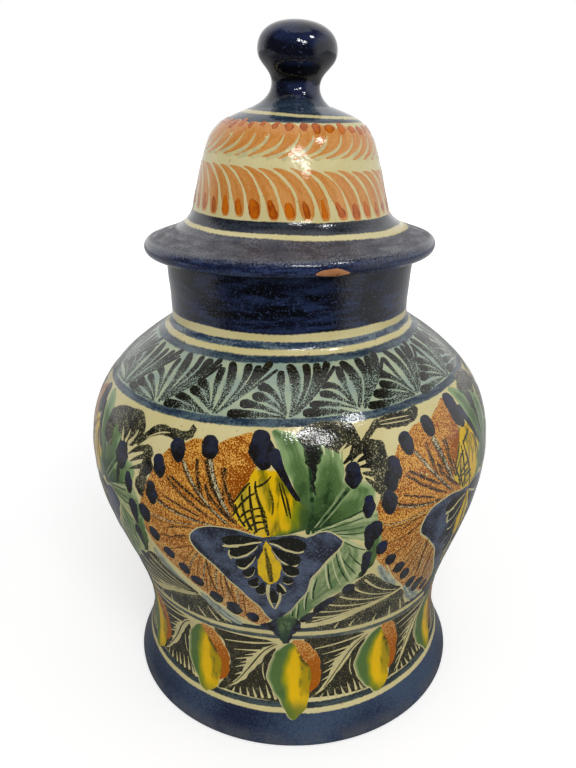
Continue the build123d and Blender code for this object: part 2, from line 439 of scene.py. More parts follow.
def lay_wash(name, turns, left, right, lift, material, columns=18):
    """Washes between two outlines, from top to bottom on the viewer's left and right, or from right to left
    above and below. Rows go straight across, lifted inside, sunk at the rim, and closed underneath."""
    count, rows, _ = left.shape
    share = (1 - np.cos(np.pi * np.linspace(0, 1, columns))) / 2
    grid = left[:, :, None] + (right - left)[:, :, None] * share[:, None]
    along = np.linspace(0, 1, rows)[None, :, None] + np.zeros((count, 1, columns))
    inner = np.ones(rows)
    inner[[0, -1]] = 0
    raised = ((share > 0) & (share < 1)) * inner[:, None] + np.zeros((count, 1, 1))
    point, normal, _, _ = skin_frame(jar_skin, grid[..., 0], grid[..., 1])
    aside = grid[..., 0] - np.asarray(turns)[:, None, None]
    top = point + normal * (raised * (lift + EDGE_SINK) - EDGE_SINK)[..., None]
    under = point - normal * (EDGE_SINK + COAT_BODY * raised)[..., None]
    load = np.random.default_rng(3).random((count, 1, 1)) + 0 * along
    values = {"along": along, "across": share + 0 * along, "aside": aside, "load": load,
              "edge": np.abs(2 * share - 1) + 0 * along}
    back = slice(columns - 2, 0, -1)
    shares = {key: np.concatenate([value, value[:, :, back]], axis=2) for key, value in values.items()}
    points = np.concatenate([top, under[:, :, back]], axis=2)
    normals = np.concatenate([normal, normal[:, :, back]], axis=2)
    faces = coat_faces(*points.shape[:3])
    add_piece(name, points.reshape(-1, 3), faces, [material], "jar", "jar_glaze", None,
              normals.reshape(-1, 3), **shares)


ROW_POINTS = slice(0, 8)
ROW_TURNS = slice(0, 8, 2)
ROW_HEIGHTS = slice(1, 8, 2)
ROW_WIDTHS = slice(8, 12)


def copies(strokes, turns, seed, loose):
    """The same strokes painted again at each turn. Every row holds the turn and height of the brush's
    landing, two handles and lift, then its width at the four. The first copy is as given, the others a
    little loose."""
    rng = np.random.default_rng(seed)
    strokes = np.asarray(strokes, float)
    again = np.repeat(strokes[None], len(turns), axis=0)
    again[..., ROW_TURNS] += np.asarray(turns)[:, None, None]
    again[1:, :, ROW_POINTS] += rng.normal(0, loose, again[1:, :, ROW_POINTS].shape)
    again[1:, :, ROW_WIDTHS] *= rng.normal(1, 0.25 * loose, again[1:, :, :1].shape)
    return again.reshape(-1, 12)


def cubic(values):
    """Cubics worked out at 13 steps that crowd towards both ends. The last but one axis holds the four
    controls."""
    t = (1 - np.cos(np.pi * np.linspace(0, 1, 13))) / 2
    weights = np.stack([(1 - t) ** 3, 3 * t * (1 - t) ** 2, 3 * t * t * (1 - t), t ** 3], -1)
    return weights @ values


def lay_strokes(name, skin, lines, widths, lift, material, body, slot, seed=1):
    """Coats of paint along lines of turn and height. Each line is widened to both sides by half its width,
    which wavers by two sines, with round ends, lifted off the clay in the middle and sunk into it at the
    edges."""
    _, _, per_degree, per_height = skin_frame(skin, lines[..., 0], lines[..., 1])
    metric = np.stack([per_degree, per_height], -1)
    run = np.gradient(lines, axis=1) * metric
    length = np.linalg.norm(run, axis=-1)
    gone = np.cumsum(length, axis=1) - length[:, :1]
    whole = gone[:, -1:]
    along = gone / whole
    rng = np.random.default_rng(seed)
    phase = rng.random((len(lines), 1)) * 2 * np.pi
    waver = 1 + 0.09 * np.sin(8 * along + phase) + 0.07 * np.sin(15 * along + 2 * phase)
    half = np.maximum(widths / 2, 0.05) * waver
    from_end = np.minimum(gone, whole - gone)
    half = half * np.sqrt(np.clip(1 - (1 - np.clip(from_end / half, 0, 1)) ** 2, 0.0004, 1))
    side = np.stack([-run[..., 1], run[..., 0]], -1) / np.maximum(length, 1e-9)[..., None] / metric
    across = np.array([-1, -0.8, 0, 0.8, 1.0])
    grid = lines[:, :, None] + side[:, :, None] * half[:, :, None, None] * across[:, None]
    raised = np.array([0, 1, 1.15, 1, 0]) * (1 - np.abs(2 * along - 1) ** 24)[..., None]
    point, normal, _, _ = skin_frame(skin, grid[..., 0], grid[..., 1])
    point = point + normal * (raised * (lift + EDGE_SINK) - EDGE_SINK)[..., None]
    shares = {
        "along": along[..., None] + 0 * raised,
        "across": across + 0 * raised,
        "edge": np.abs(across) + 0 * raised,
        "load": rng.random((len(lines), 1, 1)) + 0 * raised,
    }
    add_piece(name, point.reshape(-1, 3), coat_faces(*raised.shape), [material], body, slot, None,
              normal.reshape(-1, 3), **shares)


def brush(name, strokes, lift, material, seed=1, skin=jar_skin, body="jar", slot="jar_glaze"):
    """Strokes given as rows of four points and four widths, laid as coats of paint."""
    strokes = np.asarray(strokes, float)
    lines = cubic(strokes[:, ROW_POINTS].reshape(-1, 4, 2))
    widths = cubic(strokes[:, ROW_WIDTHS].reshape(-1, 4, 1))[..., 0]
    lay_strokes(name, skin, lines, widths, lift, material, body, slot, seed)


def stippled(place, paint, ground, cover, size=0.6):
    """Grains of paint with the ground showing between them. cover is the share of it that they hide."""
    grain = place.noise(size, 0.0) * 0.84 + place.noise(size * 4, 1.0) * 0.16
    return (grain + cover * 0.5 - 0.25).rise(0.41, 0.59).blend(ground, paint)


def black_on_cream(place):
    """Iron black stippled on cream: dense inside, breaking into grains at the edges and in worn clouds."""
    worn = place.noise(5, 2.0).rise(0.42, 0.72) * 0.24
    cover = 0.9 - worn - place.share("edge").rise(0.8, 1.0) * 0.3
    return stippled(place, colour(46, 44, 31), colour(116, 110, 82), cover, 0.6)


def black_stippled(place):
    """The same black laid with a drier brush: specks of cream show all over, more of them at the edges."""
    edge = place.share("edge").rise(0.72, 1.0)
    pool = place.noise(9, 2.0).rise(0.42, 0.66)
    thick = pool.blend(colour(50, 49, 35), colour(20, 20, 15))
    worn = (1 - place.part("Z").rise(95, 140)) * 0.4
    paint = worn.blend(thick, colour(70, 69, 56))
    return stippled(place, paint, colour(158, 152, 116), 0.76 + pool * 0.14 - edge * 0.2, 0.6)


def thinning(paint, ground, cover, start, loss, size=0.6):
    """Tint of stippled paint whose cover falls by loss between start and the edge of a stroke."""
    def tint(place):
        return stippled(place, paint, ground, cover - place.share("edge").rise(start, 1.0) * loss, size)
    return tint


def clouded(size, detail, low, high, first, second):
    """Tint that drifts from a first colour to a second one in clouds of that size."""
    def tint(place):
        return place.noise(size, detail).rise(low, high).blend(first, second)
    return tint


leaf_far_side = [(-27.4, 60.6), (-27.6, 57), (-25.4, 53), (-24.2, 48), (-23.6, 44), (-23.4, 40),
                 (-23.8, 36), (-25, 32), (-26.5, 27), (-28.2, 21.2)]
leaf_middle = [(-9, 59.4), (-6, 57.4), (-8.5, 54), (-11.5, 49), (-14, 44.5), (-16, 40), (-17.5, 36),
               (-19.5, 31.5), (-22, 27.5), (-25.5, 22)]
leaf_near_side = [(-5.2, 54), (-7, 48), (-8.6, 42), (-9, 37), (-8.6, 32), (-7.4, 27.5), (-5.6, 23.5),
                  (-5, 20.6)]
rib_left = [(-5.5, 58.2), (-10.7, 52.8), (-13.7, 48.5), (-16.7, 43.5), (-18, 39), (-19.3, 34.2),
            (-20.3, 30.8), (-21.7, 27.4), (-24.4, 23.4)]
rib_right = [(-2.6, 57.4), (-6.5, 53.5), (-9, 49.8), (-11, 44.2), (-13.3, 39.8), (-15.5, 35.2),
             (-17.5, 31.2), (-20.3, 27.8), (-22.5, 25), (-24.6, 22.8)]
leaf_bare = np.array([
    [-5.5, 58.2, -10.5, 56.2, -17.0, 55.2, -24.6, 53.4, 1.2, 1.6, 1.3, 0.7],
    [-10.7, 51.0, -14.0, 50.4, -17.5, 49.6, -21.6, 48.2, 1.8, 1.4, 0.8, 0.3],
    [-14.6, 45.2, -16.5, 44.6, -18.5, 43.6, -21.2, 42.0, 1.8, 1.3, 0.8, 0.2],
    [-17.0, 39.4, -18.5, 38.8, -19.8, 37.9, -21.5, 36.4, 1.7, 1.2, 0.7, 0.2],
    [-18.6, 34.2, -19.8, 33.6, -20.6, 32.9, -21.9, 31.6, 1.5, 1.1, 0.6, 0.2],
    [-20.0, 30.2, -21.0, 29.4, -21.8, 28.3, -22.7, 26.8, 1.2, 0.9, 0.5, 0.2],
    [-13.0, 48.4, -14.6, 47.6, -15.8, 46.9, -17.6, 45.9, 1.5, 1.0, 0.6, 0.2],
    [-16.2, 42.4, -17.4, 41.7, -18.2, 41.0, -19.4, 40.0, 1.5, 1.0, 0.6, 0.2],
    [-10.8, 43.0, -11.6, 39.0, -11.4, 35.4, -10.4, 31.8, 0.3, 0.8, 0.9, 0.3],
    [-10.2, 29.6, -9.8, 27.0, -9.4, 24.6, -8.8, 22.2, 0.2, 0.7, 1.3, 2.2],
    [-12.6, 28.4, -12.2, 26.2, -11.8, 24.0, -11.2, 21.8, 0.2, 0.7, 1.3, 2.2],
    [-15.0, 27.6, -14.7, 25.6, -14.2, 23.6, -13.6, 21.6, 0.2, 0.7, 1.2, 2.1],
    [-17.2, 26.4, -17.0, 24.8, -16.7, 23.2, -16.3, 21.6, 0.2, 0.6, 1.1, 2.0],
    [-19.6, 25.8, -19.6, 24.4, -19.5, 23.0, -19.3, 21.6, 0.2, 0.6, 1.1, 1.9],
    [-6.6, 22.0, -7.2, 23.4, -7.6, 24.8, -8.0, 26.4, 1.9, 1.2, 0.6, 0.2],
    [-22.4, 21.6, -22.2, 22.8, -22.0, 23.8, -21.6, 25.0, 1.6, 1.0, 0.6, 0.2],
])
leaf_rib_line = np.array([[-5.5, 56.9, -12.4, 51.5, -13.6, 41.0, -21.9, 27.0, 0.6, 1.0, 0.9, 0.5]])
black_cream_glaze = glaze("black_on_cream", black_on_cream)
stippled_glaze = glaze("black_stippled", black_stippled)
cream_glaze = glaze("cream_line", clouded(3, 2.0, 0.35, 0.7, CREAM, colour(190, 181, 138)))
far_sides, middles, near_sides, rib_lefts, rib_rights = [
    at_turns(line, FRUIT_TURNS, 11)
    for line in (leaf_far_side, leaf_middle, leaf_near_side, rib_left, rib_right)]
lay_wash("foot_leaves_upper", FRUIT_TURNS, far_sides, middles, 0.07, black_cream_glaze)
lay_wash("foot_leaves_lower", FRUIT_TURNS, middles[:, 4:], near_sides[:, 4:], 0.075, black_cream_glaze)
lay_wash("foot_leaf_ribs", FRUIT_TURNS, rib_lefts, rib_rights, 0.11, cream_glaze, 8)
brush("foot_leaf_teeth", copies(leaf_bare, FRUIT_TURNS, 12, 0.2), 0.12, cream_glaze)
brush("foot_leaf_rib_lines", copies(leaf_rib_line, FRUIT_TURNS, 13, 0.2), 0.16, black_cream_glaze)

# Fruits of the foot band. A green fruit with a yellow heart and an orange cheek, floated on in washes that
# run into one another, with a cream rim at the left where the ground was left bare.
FRUIT_GREEN = colour(84, 112, 58)
FRUIT_GREEN_PALE = colour(158, 168, 116)
FRUIT_YELLOW = colour(232, 186, 0)
FRUIT_OLIVE = colour(152, 132, 8)
FRUIT_ORANGE = colour(168, 90, 0)
FRUIT_ORANGE_PALE = colour(210, 156, 84)


def fruit_washes(place):
    """Green at the left that runs through lime into a yellow core, olive at the right. The core begins at a
    turn that follows the square of the height. Green at the tip, and a brown shadow under the cheek."""
    level = place.part("Z")
    drip = (place.scaled(1, 1, 0.5).noise(5, 2.0) - 0.5) * 3.0
    aside = place.share("aside") + drip
    bend = (level - 34) / 11
    core = aside + 3.6 - bend * bend
    rim = place.share("across").rise(0.0, 0.1).blend(FRUIT_GREEN_PALE, FRUIT_GREEN)
    green = (place.noise(6, 2.0).rise(0.45, 0.7) * 0.4).blend(rim, colour(66, 92, 44))
    olive = (aside.rise(0.8, 2.8) * level.rise(20, 30) * 0.8).blend(FRUIT_YELLOW, FRUIT_OLIVE)
    drawn = place.scaled(1, 1, 0.4).noise(2.6, 1.0).rise(0.52, 0.62)
    vein = drawn * aside.rise(0.6, 2.2) * level.rise(20, 30)
    veined = (vein * 0.55).blend(olive, colour(96, 100, 24))
    lime = core.rise(-2.0, 0.3).blend(green, colour(142, 146, 16))
    lit = core.rise(-0.4, 1.8).blend(lime, veined)
    tipped = ((1 - (level + drip).rise(16, 25)) * 0.9).blend(lit, colour(96, 116, 40))
    shadow = place.share("across").rise(0.82, 0.96) * level.rise(39, 44) * (1 - level.rise(50, 56))
    return (shadow * place.noise(3, 1.0).rise(0.34, 0.5) * 0.85).blend(tipped, colour(58, 42, 8))


def fruit_cheek(place):
    """Burnt orange, solid below and stippled towards the top, where the brush ran dry."""
    level = place.part("Z")
    edge = place.share("edge").rise(0.75, 1.0) * 0.3
    return stippled(place, FRUIT_ORANGE, FRUIT_ORANGE_PALE, 0.98 - level.rise(36, 56) * 0.5 - edge, 0.7)


def fruit_outline(points):
    """A fruit's outline at every turn. All but the front one end higher, where less glaze ran down."""
    lines = at_turns(points, FRUIT_TURNS, 21)
    lines[1:, :, 1] += 4.5 * np.clip((25 - lines[1:, :, 1]) / 12, 0, 1)
    return lines


fruit_left = fruit_outline([(-1, 58.2), (-3, 56.8), (-5, 53.4), (-6.6, 50), (-9, 41.8), (-9.6, 35),
                            (-8.3, 28), (-5.5, 22), (-3.4, 17), (-2.6, 14), (-0.7, 12.4)])
fruit_right = fruit_outline([(-0.6, 58.2), (0.6, 54), (2.2, 48.5), (5, 41.2), (5.5, 33), (4.9, 26.8),
                             (4.2, 21), (3.3, 18), (1.4, 14.6), (-0.3, 12.4)])
cheek_left = fruit_outline([(-0.8, 58.4), (0, 55), (1.6, 49), (4.2, 42), (4.8, 33), (4.6, 26.4)])
cheek_right = fruit_outline([(0, 59.8), (2.4, 59.6), (4.4, 57.8), (6.4, 53.6), (7.8, 49), (9, 42.5),
                             (9.1, 38), (8.7, 32.5), (7.4, 28.6), (5, 25.6)])
cheek_glaze = glaze("fruit_cheek", fruit_cheek)
lay_wash("foot_fruit_cheeks", FRUIT_TURNS, cheek_left, cheek_right, 0.14, cheek_glaze, 10)
lay_wash("foot_fruits", FRUIT_TURNS, fruit_left, fruit_right, 0.18, glaze("fruit_washes", fruit_washes), 28)
fruit_rims = np.full(fruit_left.shape[:2], 0.9)
lay_strokes("foot_fruit_rims", jar_skin, fruit_left, fruit_rims, 0.15, cream_glaze, "jar", "jar_glaze")

# Fan fields of the belly medallions. Six big flowers stand round the belly, each with an orange stippled fan
# on the left and green washed petals on the right, laid straight on the cream ground.
MEDALLION_TURNS = np.array([-6.0, 53.5, 113.0, 172.5, 232.0, 291.4])
ORANGE_DEEP = colour(142, 70, 2)
ORANGE_PALE = colour(222, 166, 74)
GREEN_DEEP = colour(28, 54, 22)
GREEN_MID = colour(78, 106, 58)
GREEN_PALE = colour(132, 158, 104)
GREEN_CREAM = colour(182, 190, 140)


def on_flowers(points, waver=0.2):
    """A smooth line repeated at each flower, wavering by so many degrees and millimetres."""
    return at_turns(points, MEDALLION_TURNS, 31, waver=waver)


def flower_wash(name, left, right, lift, material, columns=18):
    """A wash at each flower, between two outlines that are repeated there."""
    lay_wash(name, MEDALLION_TURNS, left, right, lift, material, columns)


def flower_strokes(name, strokes, seed, loose, lift, material):
    """The same strokes at each flower."""
    brush(name, copies(strokes, MEDALLION_TURNS, seed, loose), lift, material)


def orange_fan(place):
    """Stippled orange in rays, deepest beside the yellow centre at the top, paler towards the fan's foot."""
    along = place.share("along")
    across = place.share("across")
    sockets = {0: along * 34, 1: across * 1.6, 2: place.share("load") * 9}
    rays = along.make("ShaderNodeCombineXYZ", {}, sockets)
    deep = across.rise(0.55, 0.95) * (1 - along.rise(0.2, 0.42))
    cover = 0.54 + deep * 0.3 - along.rise(0.4, 0.85) * 0.1 + (rays.noise(1.0, 2.0) - 0.5) * 0.6
    ground = along.rise(0.3, 0.9).blend(ORANGE_PALE, colour(214, 172, 108))
    return stippled(place, ORANGE_DEEP, ground, cover, 0.56)


def streaked(place):
    """Noise drawn out along a petal, from its root to its rim."""
    along = place.share("along")
    sockets = {0: along * 1.4, 1: place.share("across") * 9, 2: place.share("load") * 9}
    streaks = along.make("ShaderNodeCombineXYZ", {}, sockets)
    return (streaks.noise(1.0, 2.0) - 0.5) * 0.7 + (place.noise(5, 2.0) - 0.5) * 0.5


def green_petal(place):
    """Copper green wash: dark towards the root and in streaks, pale at the rim, where it thinned over the
    cream."""
    along = place.share("along")
    edge = place.share("edge")
    clouds = (place.noise(11, 2.0) - 0.5) * 0.9
    rim = edge * edge * (1 - along.rise(0.3, 0.75)) * 0.6
    depth = 0.5 + along * 0.8 - rim + streaked(place) * 0.5 + clouds
    wash = depth.rise(0.3, 0.75).blend(GREEN_PALE, GREEN_MID)
    deep = depth.rise(0.8, 1.25).blend(wash, GREEN_DEEP)
    return (place.noise(0.6, 1.0).rise(0.55, 0.75) * 0.3).blend(deep, GREEN_PALE)


def pale_petal(place):
    """The same wash laid thin: cream shows through it in streaks, less where it ran together low down."""
    edge = place.share("edge")
    low = 1 - place.part("Z").rise(70, 94)
    flow = streaked(place) * 0.6 + 0.56 - edge * edge * 0.22 + low * 0.3
    wash = flow.rise(0.3, 0.62).blend(GREEN_CREAM, colour(98, 124, 78))
    return (place.noise(0.7, 1.0).rise(0.55, 0.75) * 0.3).blend(wash, GREEN_CREAM)


fan_left = on_flowers([(-2.5, 171.2), (-6, 169.6), (-8.4, 168), (-10.4, 167.4), (-12, 165.6),
                       (-15.5, 166), (-17.8, 167), (-20.2, 164.8), (-23, 162.6), (-25.4, 160.8),
                       (-27, 157.5), (-29.5, 149), (-31.5, 143), (-33.5, 135), (-35, 126), (-34, 117),
                       (-31, 109), (-28, 102), (-24.5, 95), (-20, 88), (-16, 82), (-11, 76), (-6.5, 72),
                       (-3, 69)])
fan_middle = on_flowers([(-1, 171), (-2, 160), (-3, 150), (-4, 140), (-3, 131), (-4, 120), (-4, 110),
                         (-3, 100), (-1, 90), (0, 80), (-1.5, 69)])
green_ground = (
    [(1.5, 171.4), (3.2, 165), (5, 158), (7, 151), (8.4, 144), (8.8, 138), (9.6, 133), (10.4, 129)],
    [(2.8, 171.8), (6, 170.4), (8.6, 168), (10.6, 164.6), (13.6, 165.4), (16.4, 165.2), (18.8, 164.2),
     (19.4, 158), (19.4, 151.4), (22, 150.8), (25.2, 150), (26.6, 146.6), (26, 140), (27.2, 134),
     (27.8, 128), (27, 121.6), (22, 124), (17.6, 126.4), (13, 129)])
green_petals = [
    ([(1.5, 171.6), (3, 166.5), (4.6, 160), (6.4, 153), (7.8, 146), (8.4, 141), (8.8, 136.5),
      (9.4, 133), (10.2, 129.4)],
     [(2.8, 171.9), (6, 170.2), (8.5, 167.8), (9.6, 164), (10.4, 159), (11.2, 152), (11.6, 145),
      (11.4, 138), (10.8, 129.4)]),
    ([(13.6, 166.2), (12.8, 163), (12, 158), (11.2, 151), (11, 144), (10.8, 137), (10.7, 129.6)],
     [(14.5, 166.4), (16.6, 165.6), (18.6, 164.8), (19.2, 160.5), (19, 156), (18.4, 151.6), (17.4, 147),
      (15.4, 141.4), (13.4, 136.5), (11.2, 129.6)]),
    ([(20.2, 150.2), (18.6, 147), (16.8, 143.4), (15, 139.6), (13, 135.4), (11.6, 131)],
     [(22, 150.4), (24.6, 148.8), (26, 146), (25.6, 142), (24, 138.6), (20, 136.4), (16, 134),
      (12, 130.8)]),
    ([(26, 128), (24.4, 120), (24.6, 112), (24, 106), (22.6, 100)],
     [(28.4, 132), (28.2, 124), (28, 117), (27.2, 110), (24.6, 101.4)]),
]
pale_petals = [
    ([(27, 137), (23.5, 136.8), (19.5, 135.6), (15.6, 133.6), (11.8, 130.8)],
     [(27.6, 123), (25, 123.8), (21, 125.4), (17.6, 127.6), (13.6, 130)]),
    ([(18.2, 125.6), (16.9, 120.5), (15.2, 115.4), (12.8, 110), (10.8, 105), (10, 100), (9, 95),
      (7.4, 88), (5, 81), (3, 75), (2.2, 68)],
     [(18.8, 125.8), (21.4, 123), (24, 119), (24.8, 114), (24.8, 108), (24, 103), (22.6, 99.4),
      (20.4, 96), (17, 92), (13, 86), (10, 79.6), (6.8, 73), (4, 67)]),
]
flower_wash("orange_fans", fan_left, fan_middle, 0.06, glaze("orange_fan", orange_fan), 24)
green_petal_glaze = glaze("green_petal", green_petal)
pale_petal_glaze = glaze("pale_petal", pale_petal)
flower_wash("petal_ground", on_flowers(green_ground[0]), on_flowers(green_ground[1]), 0.03, pale_petal_glaze)
for number, (left, right) in enumerate(green_petals + pale_petals, 1):
    left_edge = on_flowers(left)
    right_edge = on_flowers(right)
    petal_glaze = green_petal_glaze if number <= len(green_petals) else pale_petal_glaze
    flower_wash("petals_%d" % number, left_edge, right_edge, 0.07, petal_glaze)

# Veins of the fans. Bands of cream and black combed from the root of each flower out to its drops, with black
# lines that gather at the root, and dark and pale lines through the green petals.
cream_veins = np.array([
    [-13.4, 160.0, -11.5, 149.0, -9.5, 141.5, -6.6, 134.0, 2.8, 2.6, 1.8, 0.9],
    [-20.6, 158.0, -18.0, 150.5, -15.0, 143.0, -8.0, 132.5, 1.3, 1.4, 1.3, 0.8],
    [-29.4, 138.0, -25.0, 134.6, -19.0, 131.4, -12.0, 131.6, 0.7, 0.9, 0.9, 0.7],
    [-31.0, 129.0, -27.0, 127.4, -22.0, 128.6, -17.0, 130.0, 0.5, 0.9, 0.8, 0.4],
    [-17.5, 114.5, -19.5, 110.0, -21.0, 105.0, -22.6, 100.0, 0.9, 0.8, 0.6, 0.3],
    [-15.4, 111.4, -16.8, 106.0, -17.4, 101.0, -18.6, 95.0, 0.9, 0.8, 0.6, 0.3],
    [-13.0, 107.2, -14.4, 101.0, -14.2, 95.0, -15.0, 90.0, 0.8, 0.8, 0.6, 0.3],
    [-10.6, 102.2, -11.8, 96.0, -11.4, 90.0, -12.0, 85.0, 0.8, 0.8, 0.6, 0.3],
    [-8.2, 96.0, -9.2, 91.0, -8.8, 86.0, -9.4, 80.0, 0.7, 0.8, 0.6, 0.3],
])
black_veins = np.array([
    [-14.4, 160.0, -12.2, 149.5, -10.2, 142.0, -7.2, 134.5, 4.6, 4.4, 3.4, 1.8],
    [-20.8, 157.6, -18.2, 150.2, -15.2, 142.8, -8.6, 132.8, 3.0, 3.2, 2.8, 1.4],
    [-16.8, 159.5, -16.5, 154.0, -16.1, 150.0, -14.6, 144.0, 1.6, 3.0, 3.0, 1.8],
    [-9.4, 157.6, -9.2, 152.5, -9.3, 148.5, -9.6, 141.0, 1.6, 3.0, 2.8, 1.8],
    [-14.0, 150.0, -13.4, 147.0, -13.0, 145.0, -12.2, 142.0, 1.6, 3.6, 3.6, 1.6],
    [-25.0, 149.8, -22.0, 145.0, -17.6, 139.6, -11.0, 133.4, 2.2, 2.8, 2.4, 1.4],
    [-24.0, 150.4, -20.4, 147.0, -17.0, 143.6, -13.0, 139.0, 1.6, 2.4, 2.2, 1.2],
    [-29.0, 139.0, -25.6, 135.8, -20.0, 132.6, -13.0, 131.8, 1.8, 2.2, 2.0, 1.2],
    [-26.0, 140.6, -22.6, 139.0, -19.4, 137.0, -15.0, 134.4, 1.0, 1.8, 1.8, 1.0],
    [-5.6, 139.0, -5.4, 136.0, -4.6, 133.6, -2.6, 130.6, 1.6, 3.4, 3.4, 1.6],
    [-31.0, 127.4, -27.0, 125.8, -23.0, 127.0, -19.0, 127.6, 0.5, 0.8, 0.8, 0.4],
    [-30.5, 118.0, -27.0, 119.4, -23.0, 120.2, -19.4, 121.5, 0.6, 1.0, 0.9, 0.5],
    [-28.0, 110.0, -25.6, 112.6, -22.4, 114.4, -19.0, 118.0, 0.6, 1.0, 0.9, 0.5],
])
root_veins = np.array([
    [-10.2, 157.2, -9.3, 151.5, -8.2, 145.2, -6.6, 138.5, 1.4, 2.6, 3.0, 1.4],
    [-7.9, 147.6, -7.5, 144.6, -7.0, 141.6, -6.4, 138.2, 1.2, 2.6, 2.6, 1.2],
    [-11.4, 142.2, -10.2, 139.0, -8.4, 136.2, -6.2, 133.6, 1.2, 2.4, 2.6, 1.4],
    [-13.4, 146.8, -12.4, 143.8, -10.2, 140.0, -6.2, 134.0, 1.0, 2.2, 2.4, 1.4],
    [-25.9, 123.8, -23.0, 126.6, -20.4, 127.6, -17.6, 127.9, 0.8, 1.6, 1.6, 0.8],
    [-25.9, 118.2, -23.6, 121.2, -21.4, 122.6, -19.2, 123.0, 0.8, 1.6, 1.6, 0.8],
    [-15.4, 113.0, -15.7, 105.5, -15.7, 96.5, -14.7, 86.0, 1.0, 2.0, 2.0, 1.0],
    [-11.2, 104.2, -11.7, 96.0, -10.4, 89.8, -9.7, 81.5, 1.0, 2.0, 2.0, 1.0],
])
brown_veins = np.array([
    [-18.4, 116.0, -20.2, 112.0, -22.6, 107.0, -24.2, 101.5, 0.5, 1.2, 1.2, 0.5],
    [-16.6, 113.2, -18.4, 108.5, -19.0, 102.0, -20.4, 96.5, 0.5, 1.2, 1.2, 0.5],
    [-14.4, 109.6, -15.8, 104.0, -15.8, 97.0, -16.8, 91.0, 0.5, 1.2, 1.2, 0.5],
    [-12.0, 105.0, -13.2, 99.0, -12.8, 92.0, -13.4, 86.0, 0.5, 1.2, 1.2, 0.5],
    [-9.6, 99.4, -10.6, 94.0, -10.2, 88.0, -10.6, 82.0, 0.5, 1.1, 1.1, 0.5],
    [-7.0, 93.0, -7.8, 88.0, -7.4, 82.0, -8.0, 77.0, 0.5, 1.1, 1.1, 0.5],
    [-19.6, 107.6, -21.6, 103.0, -22.2, 99.0, -23.6, 95.0, 0.4, 0.9, 0.9, 0.4],
    [-16.4, 101.4, -17.6, 97.0, -17.6, 92.0, -18.6, 87.0, 0.4, 0.9, 0.9, 0.4],
])
green_veins = np.array([
    [10.9, 131.0, 11.0, 140.0, 11.4, 150.0, 10.9, 162.0, 0.6, 1.4, 2.2, 3.0],
    [11.8, 132.0, 14.4, 138.0, 17.2, 143.6, 20.2, 149.4, 0.6, 1.0, 1.4, 2.0],
    [12.4, 131.6, 16.0, 134.0, 20.0, 136.0, 23.6, 138.6, 0.4, 0.8, 0.9, 0.8],
    [13.0, 131.0, 17.0, 132.4, 20.0, 133.6, 23.6, 135.0, 0.4, 0.7, 0.7, 0.6],
    [13.6, 130.0, 17.0, 130.4, 20.0, 129.8, 23.6, 130.6, 0.4, 0.6, 0.6, 0.5],
    [14.6, 129.4, 18.0, 128.4, 21.0, 127.4, 24.0, 127.4, 0.4, 0.7, 0.7, 0.5],
    [18.6, 124.6, 20.4, 121.6, 22.4, 119.4, 24.4, 118.0, 0.4, 0.7, 0.7, 0.5],
    [16.8, 119.4, 17.4, 112.0, 18.8, 106.0, 21.2, 99.6, 0.5, 1.1, 1.2, 0.7],
    [15.0, 113.6, 15.3, 106.0, 15.8, 101.0, 16.8, 96.6, 0.5, 1.1, 1.2, 0.7],
    [12.6, 105.0, 11.9, 100.0, 11.5, 95.0, 12.0, 90.0, 0.5, 1.2, 1.2, 0.7],
    [18.4, 116.0, 19.6, 111.0, 21.4, 108.0, 22.8, 104.0, 0.5, 0.9, 0.9, 0.5],
    [10.4, 96.6, 10.0, 91.0, 9.6, 87.0, 10.0, 82.0, 0.4, 1.0, 1.0, 0.6],
    [8.0, 88.0, 8.0, 84.0, 7.6, 80.0, 7.6, 76.0, 0.4, 0.9, 0.9, 0.5],
    [6.3, 82.6, 6.1, 79.0, 5.8, 76.0, 5.9, 73.0, 0.4, 0.9, 0.9, 0.4],
    [20.2, 118.0, 21.2, 114.0, 22.8, 111.0, 24.2, 108.6, 0.4, 0.8, 0.8, 0.4],
])
pale_veins = np.array([
    [18.6, 125.4, 20.6, 122.6, 22.6, 120.6, 24.6, 118.8, 0.8, 1.2, 1.0, 0.4],
    [17.4, 121.4, 18.2, 113.0, 19.8, 106.6, 22.0, 100.0, 0.8, 1.4, 1.2, 0.4],
    [14.4, 113.0, 14.7, 106.0, 15.2, 101.0, 16.2, 96.4, 0.8, 1.4, 1.1, 0.4],
    [11.8, 105.0, 11.2, 100.0, 10.9, 95.0, 11.4, 90.0, 0.7, 1.2, 1.0, 0.4],
    [15.9, 117.0, 16.4, 110.0, 17.4, 104.0, 19.2, 98.0, 0.5, 0.9, 0.8, 0.3],
    [9.9, 97.0, 9.5, 91.6, 9.2, 87.0, 9.6, 82.4, 0.6, 1.0, 0.8, 0.3],
    [7.6, 88.6, 7.4, 84.4, 7.0, 80.4, 7.1, 76.4, 0.6, 1.0, 0.8, 0.3],
    [5.8, 83.0, 5.5, 79.4, 5.2, 76.4, 5.4, 73.0, 0.5, 0.9, 0.8, 0.3],
    [14.6, 162.0, 14.5, 164.0, 14.3, 166.0, 14.3, 167.4, 0.5, 1.1, 1.0, 0.3],
    [16.6, 161.0, 16.6, 163.0, 16.6, 165.0, 16.7, 166.6, 0.5, 1.1, 1.0, 0.3],
    [18.4, 160.0, 18.5, 162.0, 18.6, 164.0, 18.8, 165.8, 0.5, 1.1, 1.0, 0.3],
])
wiped_veins = np.array([
    [12.6, 132.6, 15.2, 138.0, 18.0, 143.0, 20.8, 148.6, 0.4, 0.8, 0.7, 0.5],
    [11.4, 132.4, 13.8, 138.4, 16.4, 144.0, 19.0, 149.6, 0.4, 0.7, 0.6, 0.4],
])


def cream_vein(place):
    """Grains of cream and black dragged dry over the orange, palest along the middle."""
    cover = 0.5 + place.share("edge").rise(0.4, 1.0) * 0.4 + (place.noise(4, 1.0) - 0.5) * 0.6
    return stippled(place, colour(44, 40, 26), colour(198, 186, 146), cover, 0.55)


